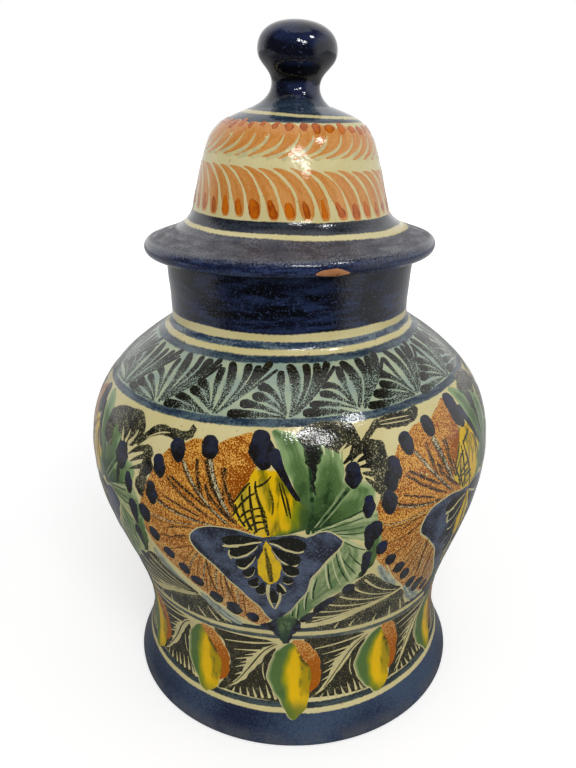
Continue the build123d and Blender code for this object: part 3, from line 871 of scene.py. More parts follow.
def black_vein(place):
    """Iron black dragged dry over the orange, so that only grains of it show."""
    cover = 0.7 + place.share("load") * 0.1 - place.share("edge").rise(0.2, 1.0) * 0.5
    return stippled(place, colour(40, 34, 18), colour(188, 124, 54), cover, 0.6)


brown_vein = thinning(colour(70, 44, 16), colour(180, 122, 58), 0.6, 0.3, 0.4)
green_vein = clouded(2.5, 2.0, 0.4, 0.7, colour(30, 52, 28), colour(70, 98, 60))
pale_vein = clouded(2.5, 2.0, 0.4, 0.7, GREEN_CREAM, colour(198, 198, 152))
flower_strokes("orange_fan_cream_veins", cream_veins, 41, 0.35, 0.12, glaze("cream_vein", cream_vein))
black_vein_glaze = glaze("black_vein", black_vein)
flower_strokes("orange_fan_black_veins", black_veins, 42, 0.35, 0.09, black_vein_glaze)
flower_strokes("orange_fan_root_veins", root_veins, 47, 0.35, 0.15, black_vein_glaze)
flower_strokes("orange_fan_brown_veins", brown_veins, 45, 0.35, 0.09, glaze("brown_vein", brown_vein))
flower_strokes("green_fan_pale_veins", pale_veins, 44, 0.35, 0.09, glaze("pale_vein", pale_vein))
flower_strokes("green_fan_wiped_veins", wiped_veins, 46, 0.35, 0.09, pale_petal_glaze)
flower_strokes("green_fan_dark_veins", green_veins, 43, 0.35, 0.11, glaze("green_vein", green_vein))

# Yellow centres of the flowers. A yellow bud with a ragged cream top, its left half scored by a net of fine
# black lines like a pineapple's skin and its right half folded in olive.


def bud_yellow(place):
    """Antimony yellow with olive folds that run up the bud, pale under the net, green at the lower right."""
    across = place.share("across")
    along = place.share("along")
    folds = place.scaled(1.6, 1.6, 0.35).noise(5, 2.0)
    yellow = folds.rise(0.46, 0.64).blend(colour(222, 178, 0), colour(126, 114, 4))
    pale = (1 - across.rise(0.3, 0.55)) * along.rise(0.1, 0.3)
    netted = (pale * 0.5).blend(yellow, colour(212, 184, 56))
    turning = across + (folds - 0.5) * 0.3 - (1 - along.rise(0.3, 0.55)) * 0.3
    lime = turning.rise(0.62, 0.8).blend(netted, colour(118, 130, 14))
    green = turning.rise(0.76, 0.93).blend(lime, colour(56, 82, 42))
    return (1 - (along + (place.noise(2, 1.0) - 0.5) * 0.08).rise(0.02, 0.06)).blend(green, CREAM)


bud_left = on_flowers([(-1.5, 159.7), (-3.2, 154), (-5, 149.8), (-6.8, 143.8), (-7.5, 137.6),
                       (-5.4, 134), (-2.6, 129.6), (0.2, 127.8)])
bud_right = on_flowers([(2.1, 158.8), (4.5, 153.8), (6.4, 148.6), (8.2, 144.6), (10, 140.5),
                        (10.6, 136), (9.6, 132.6), (6.4, 130.4), (3.4, 128.8), (0.9, 127.8)])
bud_net = np.array([
    [-3.2, 151.5, -3.2, 145.5, -2.4, 137.0, -1.6, 129.6, 0.8, 1.3, 1.5, 1.2],
    [-1.8, 153.5, -2.4, 147.0, 0.4, 142.4, 1.0, 128.5, 0.7, 1.3, 1.4, 1.2],
    [-5.0, 147.8, -5.0, 141.5, -4.2, 136.6, -2.6, 130.8, 0.7, 1.3, 1.4, 1.0],
    [-6.5, 143.2, -6.4, 139.2, -5.6, 136.4, -4.2, 132.6, 0.7, 1.2, 1.2, 1.0],
    [-6.9, 143.6, -5.6, 147.4, -4.6, 150.0, -3.0, 152.7, 0.6, 1.2, 1.2, 0.7],
    [-7.3, 137.4, -5.4, 143.2, -3.8, 147.2, -1.6, 148.4, 0.7, 1.2, 1.2, 0.7],
    [-6.0, 135.3, -4.4, 141.4, -2.6, 140.8, 0.0, 142.6, 0.7, 1.2, 1.2, 0.7],
    [-5.0, 133.6, -3.4, 138.6, -1.8, 138.0, 0.3, 139.0, 0.7, 1.2, 1.2, 0.7],
    [-3.8, 131.0, -2.4, 136.4, -0.6, 135.4, 0.6, 136.2, 0.7, 1.2, 1.2, 0.7],
    [-2.4, 129.6, -1.4, 133.2, 0.0, 132.8, 1.0, 133.6, 0.6, 1.0, 1.0, 0.6],
    [-1.8, 150.8, -0.6, 151.2, 0.8, 152.6, 1.8, 155.4, 0.6, 1.3, 1.1, 0.5],
    [3.5, 153.2, 4.2, 148.8, 4.8, 144.0, 5.5, 138.0, 0.4, 0.9, 1.0, 0.5],
    [4.1, 152.8, 5.1, 148.2, 5.9, 143.0, 6.2, 137.0, 0.4, 0.9, 1.0, 0.5],
])
bud_net[:, ROW_WIDTHS] *= 1.2
bud_folds = np.array([
    [-1.8, 147.0, -0.4, 143.2, 0.4, 138.0, 0.8, 128.8, 1.4, 2.8, 3.0, 1.6],
    [1.4, 150.0, 2.2, 146.6, 2.6, 142.6, 1.8, 138.4, 0.6, 1.6, 1.8, 0.6],
])


def net_line(place):
    """Iron black line, a little broken."""
    cover = 1.0 - place.share("edge").rise(0.5, 1.0) * 0.5 - place.noise(4, 1.0).rise(0.5, 0.7) * 0.2
    return stippled(place, colour(38, 37, 14), colour(186, 158, 34), cover, 0.5)


olive_fold = thinning(colour(62, 58, 16), colour(188, 156, 16), 0.76, 0.4, 0.5, 0.5)
flower_wash("yellow_buds", bud_left, bud_right, 0.13, glaze("bud_yellow", bud_yellow))
olive_glaze = glaze("olive_fold", olive_fold)
flower_strokes("yellow_bud_folds", bud_folds, 52, 0.2, 0.16, olive_glaze)
flower_strokes("yellow_bud_nets", bud_net, 51, 0.5, 0.18, glaze("bud_net", net_line))

# Blue hearts below the buds. A heart of cobalt wash with a cream rim, filled with black leaves edged in cream
# and a striped yellow seed in the middle.
HEART_LEFT = [(1, 128.3), (-3, 129.3), (-8, 131), (-13, 130.8), (-16.5, 128.5), (-18.4, 124.5),
              (-18.9, 121), (-18, 117), (-16.5, 114.5), (-13.5, 109), (-11, 104), (-8.5, 98), (-6, 91),
              (-3.5, 85), (-1.5, 79), (0.8, 74)]
HEART_RIGHT = [(-1, 128.3), (3, 129.3), (6.4, 130), (8.4, 129.2), (9.8, 128), (11.2, 128.8),
               (12.6, 130.4), (14.2, 130.6), (16.2, 128.8), (17.6, 126.8), (18.4, 125.6), (18, 123.4),
               (16.8, 120), (15, 115), (12.8, 110), (11, 105.5), (10.4, 101), (9.8, 97), (8.9, 93),
               (7.9, 89), (6, 83.8), (3.6, 78.4), (1.8, 75)]


def heart_blue(place):
    """Cobalt wash in clouds, dark where it pooled, pale towards the tip, with a pale grain."""
    low = 1 - place.part("Z").rise(84, 112)
    clouds = place.noise(8, 2.0) * 0.75 + place.noise(1.0, 1.0) * 0.25 + low * 0.07
    blue = clouds.rise(0.34, 0.68).blend(colour(34, 36, 48), colour(80, 91, 112))
    return (place.noise(0.8, 0.0).rise(0.64, 0.8) * 0.4).blend(blue, colour(120, 132, 148))


heart_axis = on_flowers([(2, 128.3), (2, 100), (1.6, 74.4)])
heart_axis_right = on_flowers([(-2, 128.3), (-2, 100), (1.0, 74.4)])
heart_glaze = glaze("heart_blue", heart_blue)
heart_left = on_flowers(HEART_LEFT)
heart_right = on_flowers(HEART_RIGHT)
flower_wash("blue_heart_left_halves", heart_left, heart_axis, 0.15, heart_glaze, columns=22)
flower_wash("blue_heart_right_halves", heart_axis_right, heart_right, 0.15, heart_glaze, columns=22)
rim_width = np.concatenate([
    1.0 + 0.8 * np.clip((126 - heart_left[..., 1]) / 8, 0, 1),
    0.9 + 1.5 * np.exp(-((heart_right[..., 1] - 111) / 10) ** 2),
])
heart_rims = np.concatenate([heart_left, heart_right])
lay_strokes("blue_heart_rims", jar_skin, heart_rims, rim_width, 0.125, cream_glaze, "jar", "jar_glaze")
heart_leaves = np.array([
    [-0.5, 127.4, -3.5, 127.8, -7.0, 126.8, -10.4, 124.9, 0.6, 3.0, 4.8, 4.2],
    [-1.6, 125.6, -3.8, 122.6, -6.0, 120.6, -8.9, 118.9, 0.6, 3.4, 6.0, 5.4],
    [-2.4, 119.5, -4.0, 116.0, -5.4, 114.0, -7.5, 112.6, 0.6, 3.0, 5.2, 4.4],
    [-2.9, 112.5, -3.8, 110.0, -4.6, 108.0, -6.0, 106.4, 0.5, 3.0, 4.8, 4.2],
    [-2.2, 106.0, -3.2, 103.6, -3.7, 101.8, -4.7, 99.8, 0.5, 3.4, 5.2, 4.4],
    [-1.0, 103.0, -1.6, 100.0, -2.0, 97.6, -2.4, 94.4, 0.4, 3.2, 5.2, 3.2],
    [1.2, 99.5, 1.1, 95.5, 1.0, 92.0, 1.1, 88.2, 0.3, 2.8, 6.0, 3.6],
    [2.4, 102.6, 2.9, 100.0, 3.4, 98.0, 4.0, 95.4, 0.4, 3.0, 4.8, 3.0],
    [1.0, 127.0, 4.0, 127.8, 6.6, 125.8, 9.8, 123.8, 0.6, 4.0, 7.0, 6.6],
    [1.8, 124.2, 3.6, 120.6, 5.6, 117.8, 8.3, 116.0, 0.6, 4.4, 8.0, 6.8],
    [3.9, 114.6, 5.0, 112.4, 6.2, 110.6, 8.0, 109.0, 0.6, 4.4, 7.0, 5.6],
    [4.2, 107.6, 4.8, 106.0, 5.4, 104.6, 6.1, 103.0, 0.5, 3.8, 5.6, 4.6],
])
heart_leaves[:, ROW_WIDTHS] *= 1.28
heart_leaves[:, ROW_HEIGHTS] -= 0.7
heart_edges = heart_leaves.copy()
heart_edges[:, ROW_HEIGHTS] -= np.array([0.6, 1.5, 1.6, 0.6])
heart_edges[3:8, ROW_HEIGHTS] += np.array([0.2, 0.7, 0.8, 0.2])
heart_edges[10:, ROW_HEIGHTS] += np.array([0.2, 0.7, 0.8, 0.2])
heart_cream = np.array([
    [-6.2, 122.7, -7.8, 122.1, -9.0, 121.8, -10.3, 122.0, 0.8, 0.7, 0.7, 1.1],
    [-8.5, 120.2, -9.1, 118.6, -9.0, 116.8, -8.3, 115.0, 0.5, 0.9, 1.0, 0.8],
    [0.3, 101.4, -0.5, 96.0, -0.6, 90.6, 1.0, 83.6, 1.6, 2.4, 1.5, 0.5],
    [3.0, 96.6, 3.2, 91.6, 2.4, 88.0, 1.1, 83.2, 0.8, 1.7, 1.7, 0.4],
    [3.0, 102.2, 3.8, 100.4, 4.3, 98.8, 4.6, 96.4, 0.5, 1.2, 1.3, 0.4],
])
leaf_on_blue = thinning(colour(22, 22, 16), colour(90, 92, 84), 0.95, 0.75, 0.3)
seed_yellow = clouded(4, 2.0, 0.4, 0.7, colour(222, 184, 20), colour(200, 164, 34))
leaf_glaze = glaze("leaf_on_blue", leaf_on_blue)
flower_strokes("heart_leaf_edges", heart_edges, 62, 0.2, 0.18, cream_glaze)
flower_strokes("heart_leaf_strokes", heart_leaves, 62, 0.2, 0.27, leaf_glaze)
flower_strokes("heart_leaf_tips", heart_cream, 61, 0.2, 0.31, cream_glaze)
seed_left = on_flowers([(0.3, 126.8), (-0.5, 122), (-1.5, 117.5), (-2.2, 113), (-2.2, 109),
                        (-1.5, 105.5), (-0.9, 103.4), (0.2, 101.4)], waver=0.12)
seed_right = on_flowers([(0.6, 126.8), (1.2, 125), (1.7, 121), (2.8, 117.5), (3.7, 114), (3.7, 110),
                         (3.2, 106), (2.4, 103.6), (0.7, 101.3)], waver=0.12)
flower_wash("heart_seeds", seed_left, seed_right, 0.34, glaze("seed_yellow", seed_yellow), 10)
stripe = np.array([[0.1, 124.0, 0.5, 117.0, 1.0, 110.0, 1.0, 102.0, 0.8, 2.8, 3.8, 2.4]])
flower_strokes("heart_seed_stripes", stripe, 63, 0.1, 0.38, olive_glaze)

# Drops round the rim of each flower. Thick cobalt let fall from a loaded brush, so they are rounded and dark,
# with tails, and under the heart a dark funnel with the petal's green run down its middle.
drops = np.array([
    [-0.9, 171.4, -1.6, 167.0, -0.6, 162.4, 0.6, 156.8, 6.5, 12.0, 12.0, 5.0],
    [1.6, 165.0, 3.4, 159.0, 5.4, 152.4, 8.3, 144.6, 6.0, 4.6, 3.0, 1.8],
    [-14.5, 168.4, -14.2, 165.0, -13.6, 162.4, -13.0, 159.7, 5.0, 10.0, 10.0, 7.0],
    [-23.6, 165.2, -22.8, 162.2, -22.2, 159.6, -21.6, 156.2, 5.0, 9.8, 9.6, 5.0],
    [-28.2, 157.6, -27.7, 154.6, -27.1, 151.4, -26.4, 147.8, 5.0, 7.8, 7.8, 5.0],
    [-29.9, 145.2, -29.4, 141.5, -29.3, 138.0, -29.4, 133.8, 4.5, 8.2, 8.2, 4.8],
    [-32.6, 132.0, -33.0, 129.0, -32.8, 126.0, -32.2, 122.4, 6.0, 9.0, 9.0, 6.0],
    [-30.8, 121.0, -31.0, 119.0, -30.6, 116.0, -30.2, 113.2, 5.5, 7.5, 7.5, 5.5],
    [-27.4, 111.8, -27.4, 110.0, -27.0, 107.0, -26.6, 105.0, 5.5, 7.5, 7.5, 5.5],
    [-23.8, 104.4, -23.6, 102.0, -23.4, 100.0, -23.0, 97.6, 5.5, 7.5, 7.5, 5.5],
    [-20.8, 98.2, -20.6, 96.0, -20.2, 93.0, -20.0, 91.0, 6.0, 8.5, 8.5, 6.0],
    [-16.2, 90.0, -16.0, 88.0, -15.8, 84.5, -15.6, 81.8, 5.5, 8.0, 8.0, 5.5],
    [-11.4, 85.0, -11.2, 82.0, -11.0, 78.5, -10.8, 75.2, 6.0, 9.4, 9.4, 6.0],
    [-6.2, 79.0, -6.0, 77.0, -5.6, 74.0, -5.4, 71.8, 5.0, 7.4, 7.4, 5.0],
    [21.0, 158.6, 21.3, 155.2, 21.2, 152.0, 20.9, 148.0, 5.5, 8.6, 8.6, 5.2],
    [24.5, 144.6, 24.8, 141.0, 24.7, 138.0, 24.4, 134.0, 3.6, 6.6, 6.6, 4.0],
    [25.2, 131.2, 25.3, 127.5, 25.2, 123.5, 25.2, 117.2, 5.0, 8.6, 7.2, 1.2],
    [25.0, 117.0, 24.9, 114.0, 25.0, 110.5, 24.6, 102.0, 4.0, 6.4, 5.2, 1.0],
    [20.4, 98.2, 21.4, 96.2, 21.8, 94.0, 21.4, 91.0, 5.0, 8.0, 8.2, 6.0],
    [18.0, 90.6, 16.0, 88.0, 14.0, 84.6, 12.6, 80.0, 3.2, 5.8, 7.0, 3.2],
    [12.6, 80.6, 11.4, 78.6, 9.8, 76.4, 8.4, 73.6, 2.6, 5.0, 6.0, 3.6],
])


def drop_cobalt(place):
    """Thick cobalt: blue where it thins, brown black where it ran down and gathered with the iron."""
    aside = place.share("across")
    pool = place.noise(5, 2.0) * 0.7 + place.share("along") * 0.3 - aside * 0.08
    dark = (pool + aside * aside * 0.12 + (place.noise(1.6, 1.0) - 0.5) * 0.24).rise(0.38, 0.66)
    navy = place.noise(7, 1.0).rise(0.5, 0.62).blend(colour(38, 41, 54), colour(30, 36, 66))
    tint = dark.blend(navy, colour(24, 22, 19))
    worn = (1 - place.part("Z").rise(90, 125)) * place.noise(4, 2.0).rise(0.35, 0.6) * 0.6
    grey = worn.blend(tint, colour(62, 64, 64))
    thin = place.share("edge").rise(0.6, 1.0) * place.noise(2.4, 1.0).rise(0.4, 0.62)
    soft = (thin * 0.4).blend(grey, colour(84, 88, 88))
    return (place.noise(0.8, 1.0).rise(0.62, 0.78) * 0.34).blend(soft, colour(84, 92, 108))


def tip_wash(place):
    """Cobalt run together under the heart's tip, with the green of the petal flowing down its middle."""
    level = place.part("Z") - 59
    aside = place.share("aside") - 3 - level * 0.08 + (place.noise(3, 2.0) - 0.5) * 2.4
    spread = aside / (1.0 + level * 0.09)
    green = (1 - spread * spread * 0.6).rise(0.0, 0.7)
    cobalt = place.noise(3, 2.0).rise(0.4, 0.6).blend(colour(28, 28, 28), colour(50, 56, 68))
    streak = place.scaled(1, 1, 0.4).noise(2.4, 2.0).rise(0.42, 0.6) * 0.7
    clear = place.share("along").rise(0.2, 0.9).blend(colour(98, 124, 80), colour(46, 62, 56))
    run = streak.blend(clear, colour(44, 62, 46))
    return green.blend(cobalt, run)


drop_glaze = glaze("drop_cobalt", drop_cobalt)
flower_strokes("cobalt_drops", drops, 71, 0.3, 0.17, drop_glaze)
funnel_left = on_flowers([(1.6, 76.8), (-1, 72.8), (-3.8, 70.4), (-2.6, 67.8), (-0.4, 65.6),
                          (1.1, 62.8), (2, 59.4), (2.6, 57)])
funnel_right = on_flowers([(5.4, 80.4), (7.8, 75), (8.8, 70.4), (7, 65.8), (5.8, 62.2), (4.8, 59),
                           (4.2, 57)])
flower_wash("heart_tip_funnels", funnel_left, funnel_right, 0.2, glaze("tip_wash", tip_wash), 14)

# Sprigs between the flowers. Black stippled leaves that spring from the first drop on the right: a hooked
# leaf with fingers, a scalloped leaf and a long one with a curled tip. The sprig at the left of the front is
# painted rounder, with a wide drop.
hook_above = [(19.2, 158), (22, 160.2), (23.8, 163.5), (24.4, 167.4), (23.2, 170.8), (19.5, 172.9),
              (14.8, 173.4), (10.5, 172.4), (7.6, 169.8)]
hook_below = [(19, 158.5), (20.5, 161.5), (21.5, 164.5), (20, 163.8), (18.2, 162), (16.2, 163.6),
              (15, 165), (12, 166), (9, 166.8)]
leg_left = [(7.5, 169.6), (9.2, 165.2), (9.5, 162.2), (10.2, 159), (11, 155.2), (11.2, 151),
            (11.5, 147)]
leg_right = [(14.4, 168), (14.2, 164.6), (13.8, 161.6), (13, 158.6), (12.2, 155.2), (12, 151),
             (11.8, 147)]
scallop_left = [(24.4, 165), (24, 163), (24.4, 160), (25, 157), (25.5, 154), (26.2, 151), (27.2, 148),
                (27.6, 145), (27.8, 142), (28.2, 139.4)]
scallop_right = [(27, 165.6), (29.4, 164.6), (30.4, 162), (30.5, 159), (31.5, 156), (32.5, 153),
                 (33.2, 150), (33, 147), (31, 144.8), (29.6, 142.6), (28.8, 139.6)]
curl_above = [(26.4, 167.2), (27.5, 169.4), (28.8, 171), (31.2, 171.8), (34.2, 172.2), (37.8, 172.1),
              (40.6, 171.6), (42.4, 172.2), (44, 173.4)]
curl_below = [(27.2, 166), (28.2, 167), (29.2, 168.2), (31, 168.2), (33.2, 167.4), (36, 166.9),
              (39.4, 167), (42.6, 168), (45, 171.2)]
low_curl_above = [(25.6, 158.5), (27.6, 162.2), (29.6, 165.8), (31.4, 167.8), (34.6, 168.6),
                  (38.4, 168.2), (40.6, 168), (42, 169.2), (42.6, 171.4)]
low_curl_below = [(27.1, 157.5), (29.1, 161), (30.8, 163), (33.6, 164.5), (36.6, 164.6), (39.8, 164.6),
                  (41.8, 165), (43.6, 167), (44.3, 169.8)]
round_hook_above = [(14.8, 150.5), (11.6, 151.5), (9.8, 153.5), (9.3, 157.2), (9.6, 162.5), (9.3, 165),
                    (11.6, 167.2), (14.8, 169), (18.8, 170), (22.1, 170.8), (24.6, 170), (26.8, 168),
                    (27.8, 166), (28.1, 163.5), (27.3, 161.2), (26.1, 158.8), (24.3, 156)]
round_hook_below = [(15.1, 150.5), (14.6, 153.2), (14.8, 156.5), (14.8, 159.5), (15.1, 161.5),
                    (17.1, 159.5), (18.8, 157.8), (20.3, 156.8), (22.3, 157), (23.3, 155.5)]
slim_left = [(28.6, 158.2), (29.3, 154.8), (29.6, 152.5), (29.6, 150.2), (28.8, 148), (28.3, 144.5),
             (27.3, 142), (27.1, 139.8), (28.3, 137.2), (29.8, 135)]
slim_right = [(30.3, 159.8), (32.1, 158.8), (32.8, 157), (32.8, 153.5), (33.3, 150.8), (32.3, 147.8),
              (31.6, 144.8), (31.1, 142), (30.6, 138.5), (30.3, 135)]
slim_fingers = np.array([
    [23.6, 152.2, 25.6, 155.2, 27.8, 157.2, 30.1, 158.0, 0.5, 2.0, 3.2, 3.6],
    [24.8, 149.5, 26.8, 152.2, 28.6, 153.8, 30.8, 155.0, 0.4, 1.7, 2.6, 3.0],
    [24.6, 146.0, 26.8, 148.2, 29.3, 149.8, 31.6, 151.2, 0.4, 1.9, 3.0, 3.2],
])
round_slits = np.array([
    [18.8, 162.2, 19.6, 160.5, 19.8, 158.2, 20.3, 156.0, 0.3, 1.2, 1.9, 2.4],
    [22.3, 162.5, 22.6, 160.5, 22.1, 158.2, 21.3, 156.5, 0.3, 1.2, 1.9, 2.4],
    [25.6, 164.0, 25.6, 161.8, 24.6, 159.2, 22.6, 156.2, 0.3, 1.4, 2.0, 2.4],
])
wide_drop = np.array([[20.3, 156.6, 20.6, 152.4, 21.1, 148.5, 20.8, 143.4, 6.0, 11.0, 11.6, 6.4]])
drop_tail = np.array([[20.0, 145.0, 19.4, 142.4, 19.6, 139.0, 19.1, 135.0, 3.0, 3.8, 3.2, 0.8]])
sprigs = np.array([
    [21.6, 159.6, 23.0, 162.0, 25.0, 164.0, 27.0, 163.8, 0.8, 3.0, 5.2, 5.0],
    [22.4, 158.2, 24.0, 159.4, 26.0, 160.2, 28.0, 160.0, 0.6, 2.2, 4.0, 4.0],
    [23.0, 156.2, 24.5, 156.4, 26.5, 156.2, 29.0, 155.6, 0.6, 2.2, 4.0, 4.0],
    [23.4, 153.8, 25.0, 153.2, 27.0, 152.2, 29.5, 151.0, 0.6, 2.2, 4.0, 4.0],
    [24.0, 151.8, 25.5, 149.6, 27.0, 147.0, 28.6, 143.5, 0.6, 2.4, 4.0, 3.0],
    [20.8, 158.6, 23.2, 162.4, 25.6, 165.6, 27.6, 168.4, 0.8, 2.2, 2.6, 3.2],
])
sprig_lines = np.array([
    [30.4, 170.4, 34.0, 170.7, 37.0, 170.1, 40.8, 169.8, 0.3, 0.7, 0.7, 0.3],
    [30.6, 169.4, 34.0, 169.2, 37.0, 168.6, 40.8, 168.5, 0.3, 0.7, 0.7, 0.3],
    [18.2, 162.4, 19.0, 163.6, 19.8, 164.6, 20.6, 165.4, 1.6, 1.4, 1.0, 0.3],
])
leg_black = thinning(colour(28, 28, 25), colour(66, 88, 54), 0.94, 0.4, 0.6)
leg_glaze = glaze("leg_black", leg_black)
front_turns = MEDALLION_TURNS[:-1]
last_turn = MEDALLION_TURNS[-1:]
for name, above, below, turns, lift, coat in [
        ("hooked", hook_above, hook_below, front_turns, 0.12, stippled_glaze),
        ("scalloped", scallop_left, scallop_right, front_turns, 0.12, stippled_glaze),
        ("leg_of_hooked", leg_left, leg_right, front_turns, 0.12, leg_glaze),
        ("curled", curl_below, curl_above, front_turns, 0.12, stippled_glaze),
        ("low_curled", low_curl_below, low_curl_above, last_turn, 0.12, stippled_glaze),
        ("round_hooked", round_hook_below, round_hook_above, last_turn, 0.2, stippled_glaze),
        ("slim_scalloped", slim_left, slim_right, last_turn, 0.16, stippled_glaze)]:
    lay_wash(name + "_leaves", turns, at_turns(above, turns, 41), at_turns(below, turns, 41), lift, coat, 12)
blot_black = clouded(3, 1.0, 0.5, 0.7, colour(11, 11, 11), colour(26, 29, 42))
blot = np.array([[30.0, 153.0, 30.2, 150.0, 31.0, 147.0, 31.6, 143.6, 3.0, 8.4, 8.8, 3.0]])
brush("sprig_blots", copies(blot, front_turns, 84, 0.3), 0.155, glaze("blot_black", blot_black))
brush("sprig_fingers", copies(sprigs, front_turns, 81, 0.3), 0.14, stippled_glaze)
brush("slim_sprig_fingers", copies(slim_fingers, last_turn, 85, 0.1), 0.19, stippled_glaze)
brush("round_hook_slits", copies(round_slits, last_turn, 86, 0.1), 0.24, cream_glaze)
brush("wide_sprig_drop", copies(wide_drop, last_turn, 87, 0.1), 0.27, drop_glaze)
brush("sprig_drop_tail", copies(drop_tail, last_turn, 88, 0.1), 0.23, leg_glaze)
brush("sprig_lines", copies(sprig_lines, front_turns, 82, 0.15), 0.17, cream_glaze)
low_line = np.array([[29.4, 162.0, 32.1, 164.9, 34.1, 166.4, 36.8, 166.3, 0.3, 0.9, 0.9, 0.3]])
brush("low_sprig_line", copies(low_line, last_turn, 83, 0.1), 0.17, cream_glaze)

# Feather leaves in the gaps under the sprigs. Black stippled either side of a double bare midrib, with thin
# cream lines between the feathers and pale grey washes curling beside them.
feather_top = [(40.4, 85), (36.6, 89), (33, 93.6), (30, 98.4), (27.4, 102.6), (25, 102), (22.8, 98.8),
               (19.8, 94.6), (16.8, 90.2), (13.8, 85.2), (11.4, 79.6), (9.6, 75)]
feather_root = [(39.6, 84), (36.6, 83), (33.6, 82), (30.6, 80.8), (27.6, 79.6), (25, 78.4),
                (22.4, 77.2), (20, 76), (17.2, 74.6), (14.4, 73.6), (12, 72.8), (10, 72.3)]
feather_below = [(40.2, 84), (36.4, 81.4), (32.6, 79.4), (28.6, 77.4), (25.6, 75.6), (22.4, 73),
                 (19.4, 71.4), (15.6, 70.2), (12, 69.6)]
feather_foot = [(41.4, 83.4), (43, 77), (45, 71.4), (47, 67.4), (42, 66.4), (36, 66), (28, 66.2),
                (22, 66.6), (16, 67.2), (12.4, 68.2)]
feather_lines = np.array([
    [39.8, 84.6, 32.0, 81.6, 22.0, 78.0, 10.4, 73.4, 0.7, 1.5, 1.5, 1.0],
    [39.6, 83.6, 31.0, 79.4, 22.0, 75.6, 12.4, 70.4, 0.7, 1.3, 1.4, 0.9],
    [38.4, 85.0, 32.0, 88.0, 29.0, 92.6, 25.2, 100.4, 0.4, 0.9, 1.1, 1.5],
    [37.0, 84.2, 30.0, 86.0, 25.5, 89.6, 22.4, 96.2, 0.4, 0.8, 1.1, 1.6],
    [36.0, 83.4, 28.0, 83.8, 22.0, 86.8, 18.6, 91.4, 0.4, 0.8, 1.1, 1.5],
    [33.0, 81.6, 26.0, 81.8, 20.0, 83.0, 15.0, 86.4, 0.4, 0.8, 1.0, 1.4],
    [30.0, 80.2, 24.0, 79.4, 18.0, 79.6, 12.6, 81.4, 0.4, 0.8, 1.0, 1.4],
    [26.0, 78.4, 21.0, 77.0, 16.0, 76.4, 10.8, 77.0, 0.4, 0.8, 1.0, 1.3],
    [19.2, 67.0, 19.4, 68.4, 19.8, 69.8, 20.4, 71.4, 1.6, 1.1, 0.7, 0.3],
    [24.2, 66.6, 24.4, 68.0, 24.8, 69.6, 25.6, 71.6, 1.6, 1.1, 0.7, 0.3],
    [32.6, 66.2, 32.7, 67.6, 32.9, 69.0, 33.4, 71.0, 1.6, 1.1, 0.7, 0.3],
    [39.4, 66.2, 39.0, 68.4, 38.6, 70.6, 38.0, 73.6, 1.8, 1.2, 0.8, 0.3],
    [44.4, 66.6, 43.6, 69.4, 42.8, 72.4, 41.8, 76.6, 1.8, 1.2, 0.8, 0.3],
])
swirls = np.array([
    [41.0, 86.0, 44.0, 79.0, 47.0, 73.0, 53.0, 68.5, 2.0, 8.0, 9.0, 3.0],
    [37.0, 88.0, 33.5, 94.0, 31.0, 100.0, 29.0, 107.0, 2.0, 6.0, 7.0, 2.5],
    [46.0, 80.0, 47.5, 76.0, 50.0, 73.0, 53.0, 72.0, 3.0, 5.0, 4.0, 2.0],
])
swirl_lines = np.array([
    [41.5, 84.0, 43.6, 78.0, 46.0, 72.0, 51.0, 68.0, 0.4, 1.2, 1.2, 0.5],
    [43.0, 85.0, 45.0, 79.5, 47.4, 74.5, 52.0, 70.0, 0.4, 1.0, 1.0, 0.4],
    [44.6, 79.0, 46.6, 79.6, 47.2, 76.6, 45.6, 76.4, 0.4, 1.0, 1.0, 0.5],
    [35.0, 91.0, 32.0, 96.0, 30.4, 101.0, 29.2, 106.0, 0.4, 1.0, 1.0, 0.4],
])
swirl_edges = np.array([
    [40.6, 84.6, 42.4, 79.0, 45.0, 72.4, 49.4, 67.4, 0.6, 1.4, 1.4, 0.6],
    [44.0, 86.0, 46.4, 80.6, 48.6, 75.6, 53.6, 70.4, 0.6, 1.2, 1.2, 0.6],
    [37.6, 90.0, 34.4, 95.6, 32.8, 100.6, 31.0, 107.0, 0.6, 1.2, 1.2, 0.6],
])
swirl_lines[:, ROW_WIDTHS] *= 2.2
swirl_grey = clouded(5, 2.0, 0.35, 0.68, colour(146, 156, 140), colour(180, 186, 164))
swirl_slate = clouded(3, 2.0, 0.3, 0.7, colour(106, 114, 110), colour(148, 155, 146))
flower_strokes("grey_swirls", swirls, 91, 0.35, 0.05, glaze("swirl_grey", swirl_grey))
flower_strokes("grey_swirl_lines", swirl_lines, 92, 0.2, 0.1, glaze("swirl_slate", swirl_slate))
flower_strokes("grey_swirl_edges", swirl_edges, 96, 0.2, 0.08, cream_glaze)
flower_wash("feathers_above", on_flowers(feather_top), on_flowers(feather_root), 0.12, stippled_glaze)
flower_wash("feathers_below", on_flowers(feather_below), on_flowers(feather_foot), 0.12, stippled_glaze)
flower_strokes("feather_lines", feather_lines, 94, 0.2, 0.16, cream_glaze)

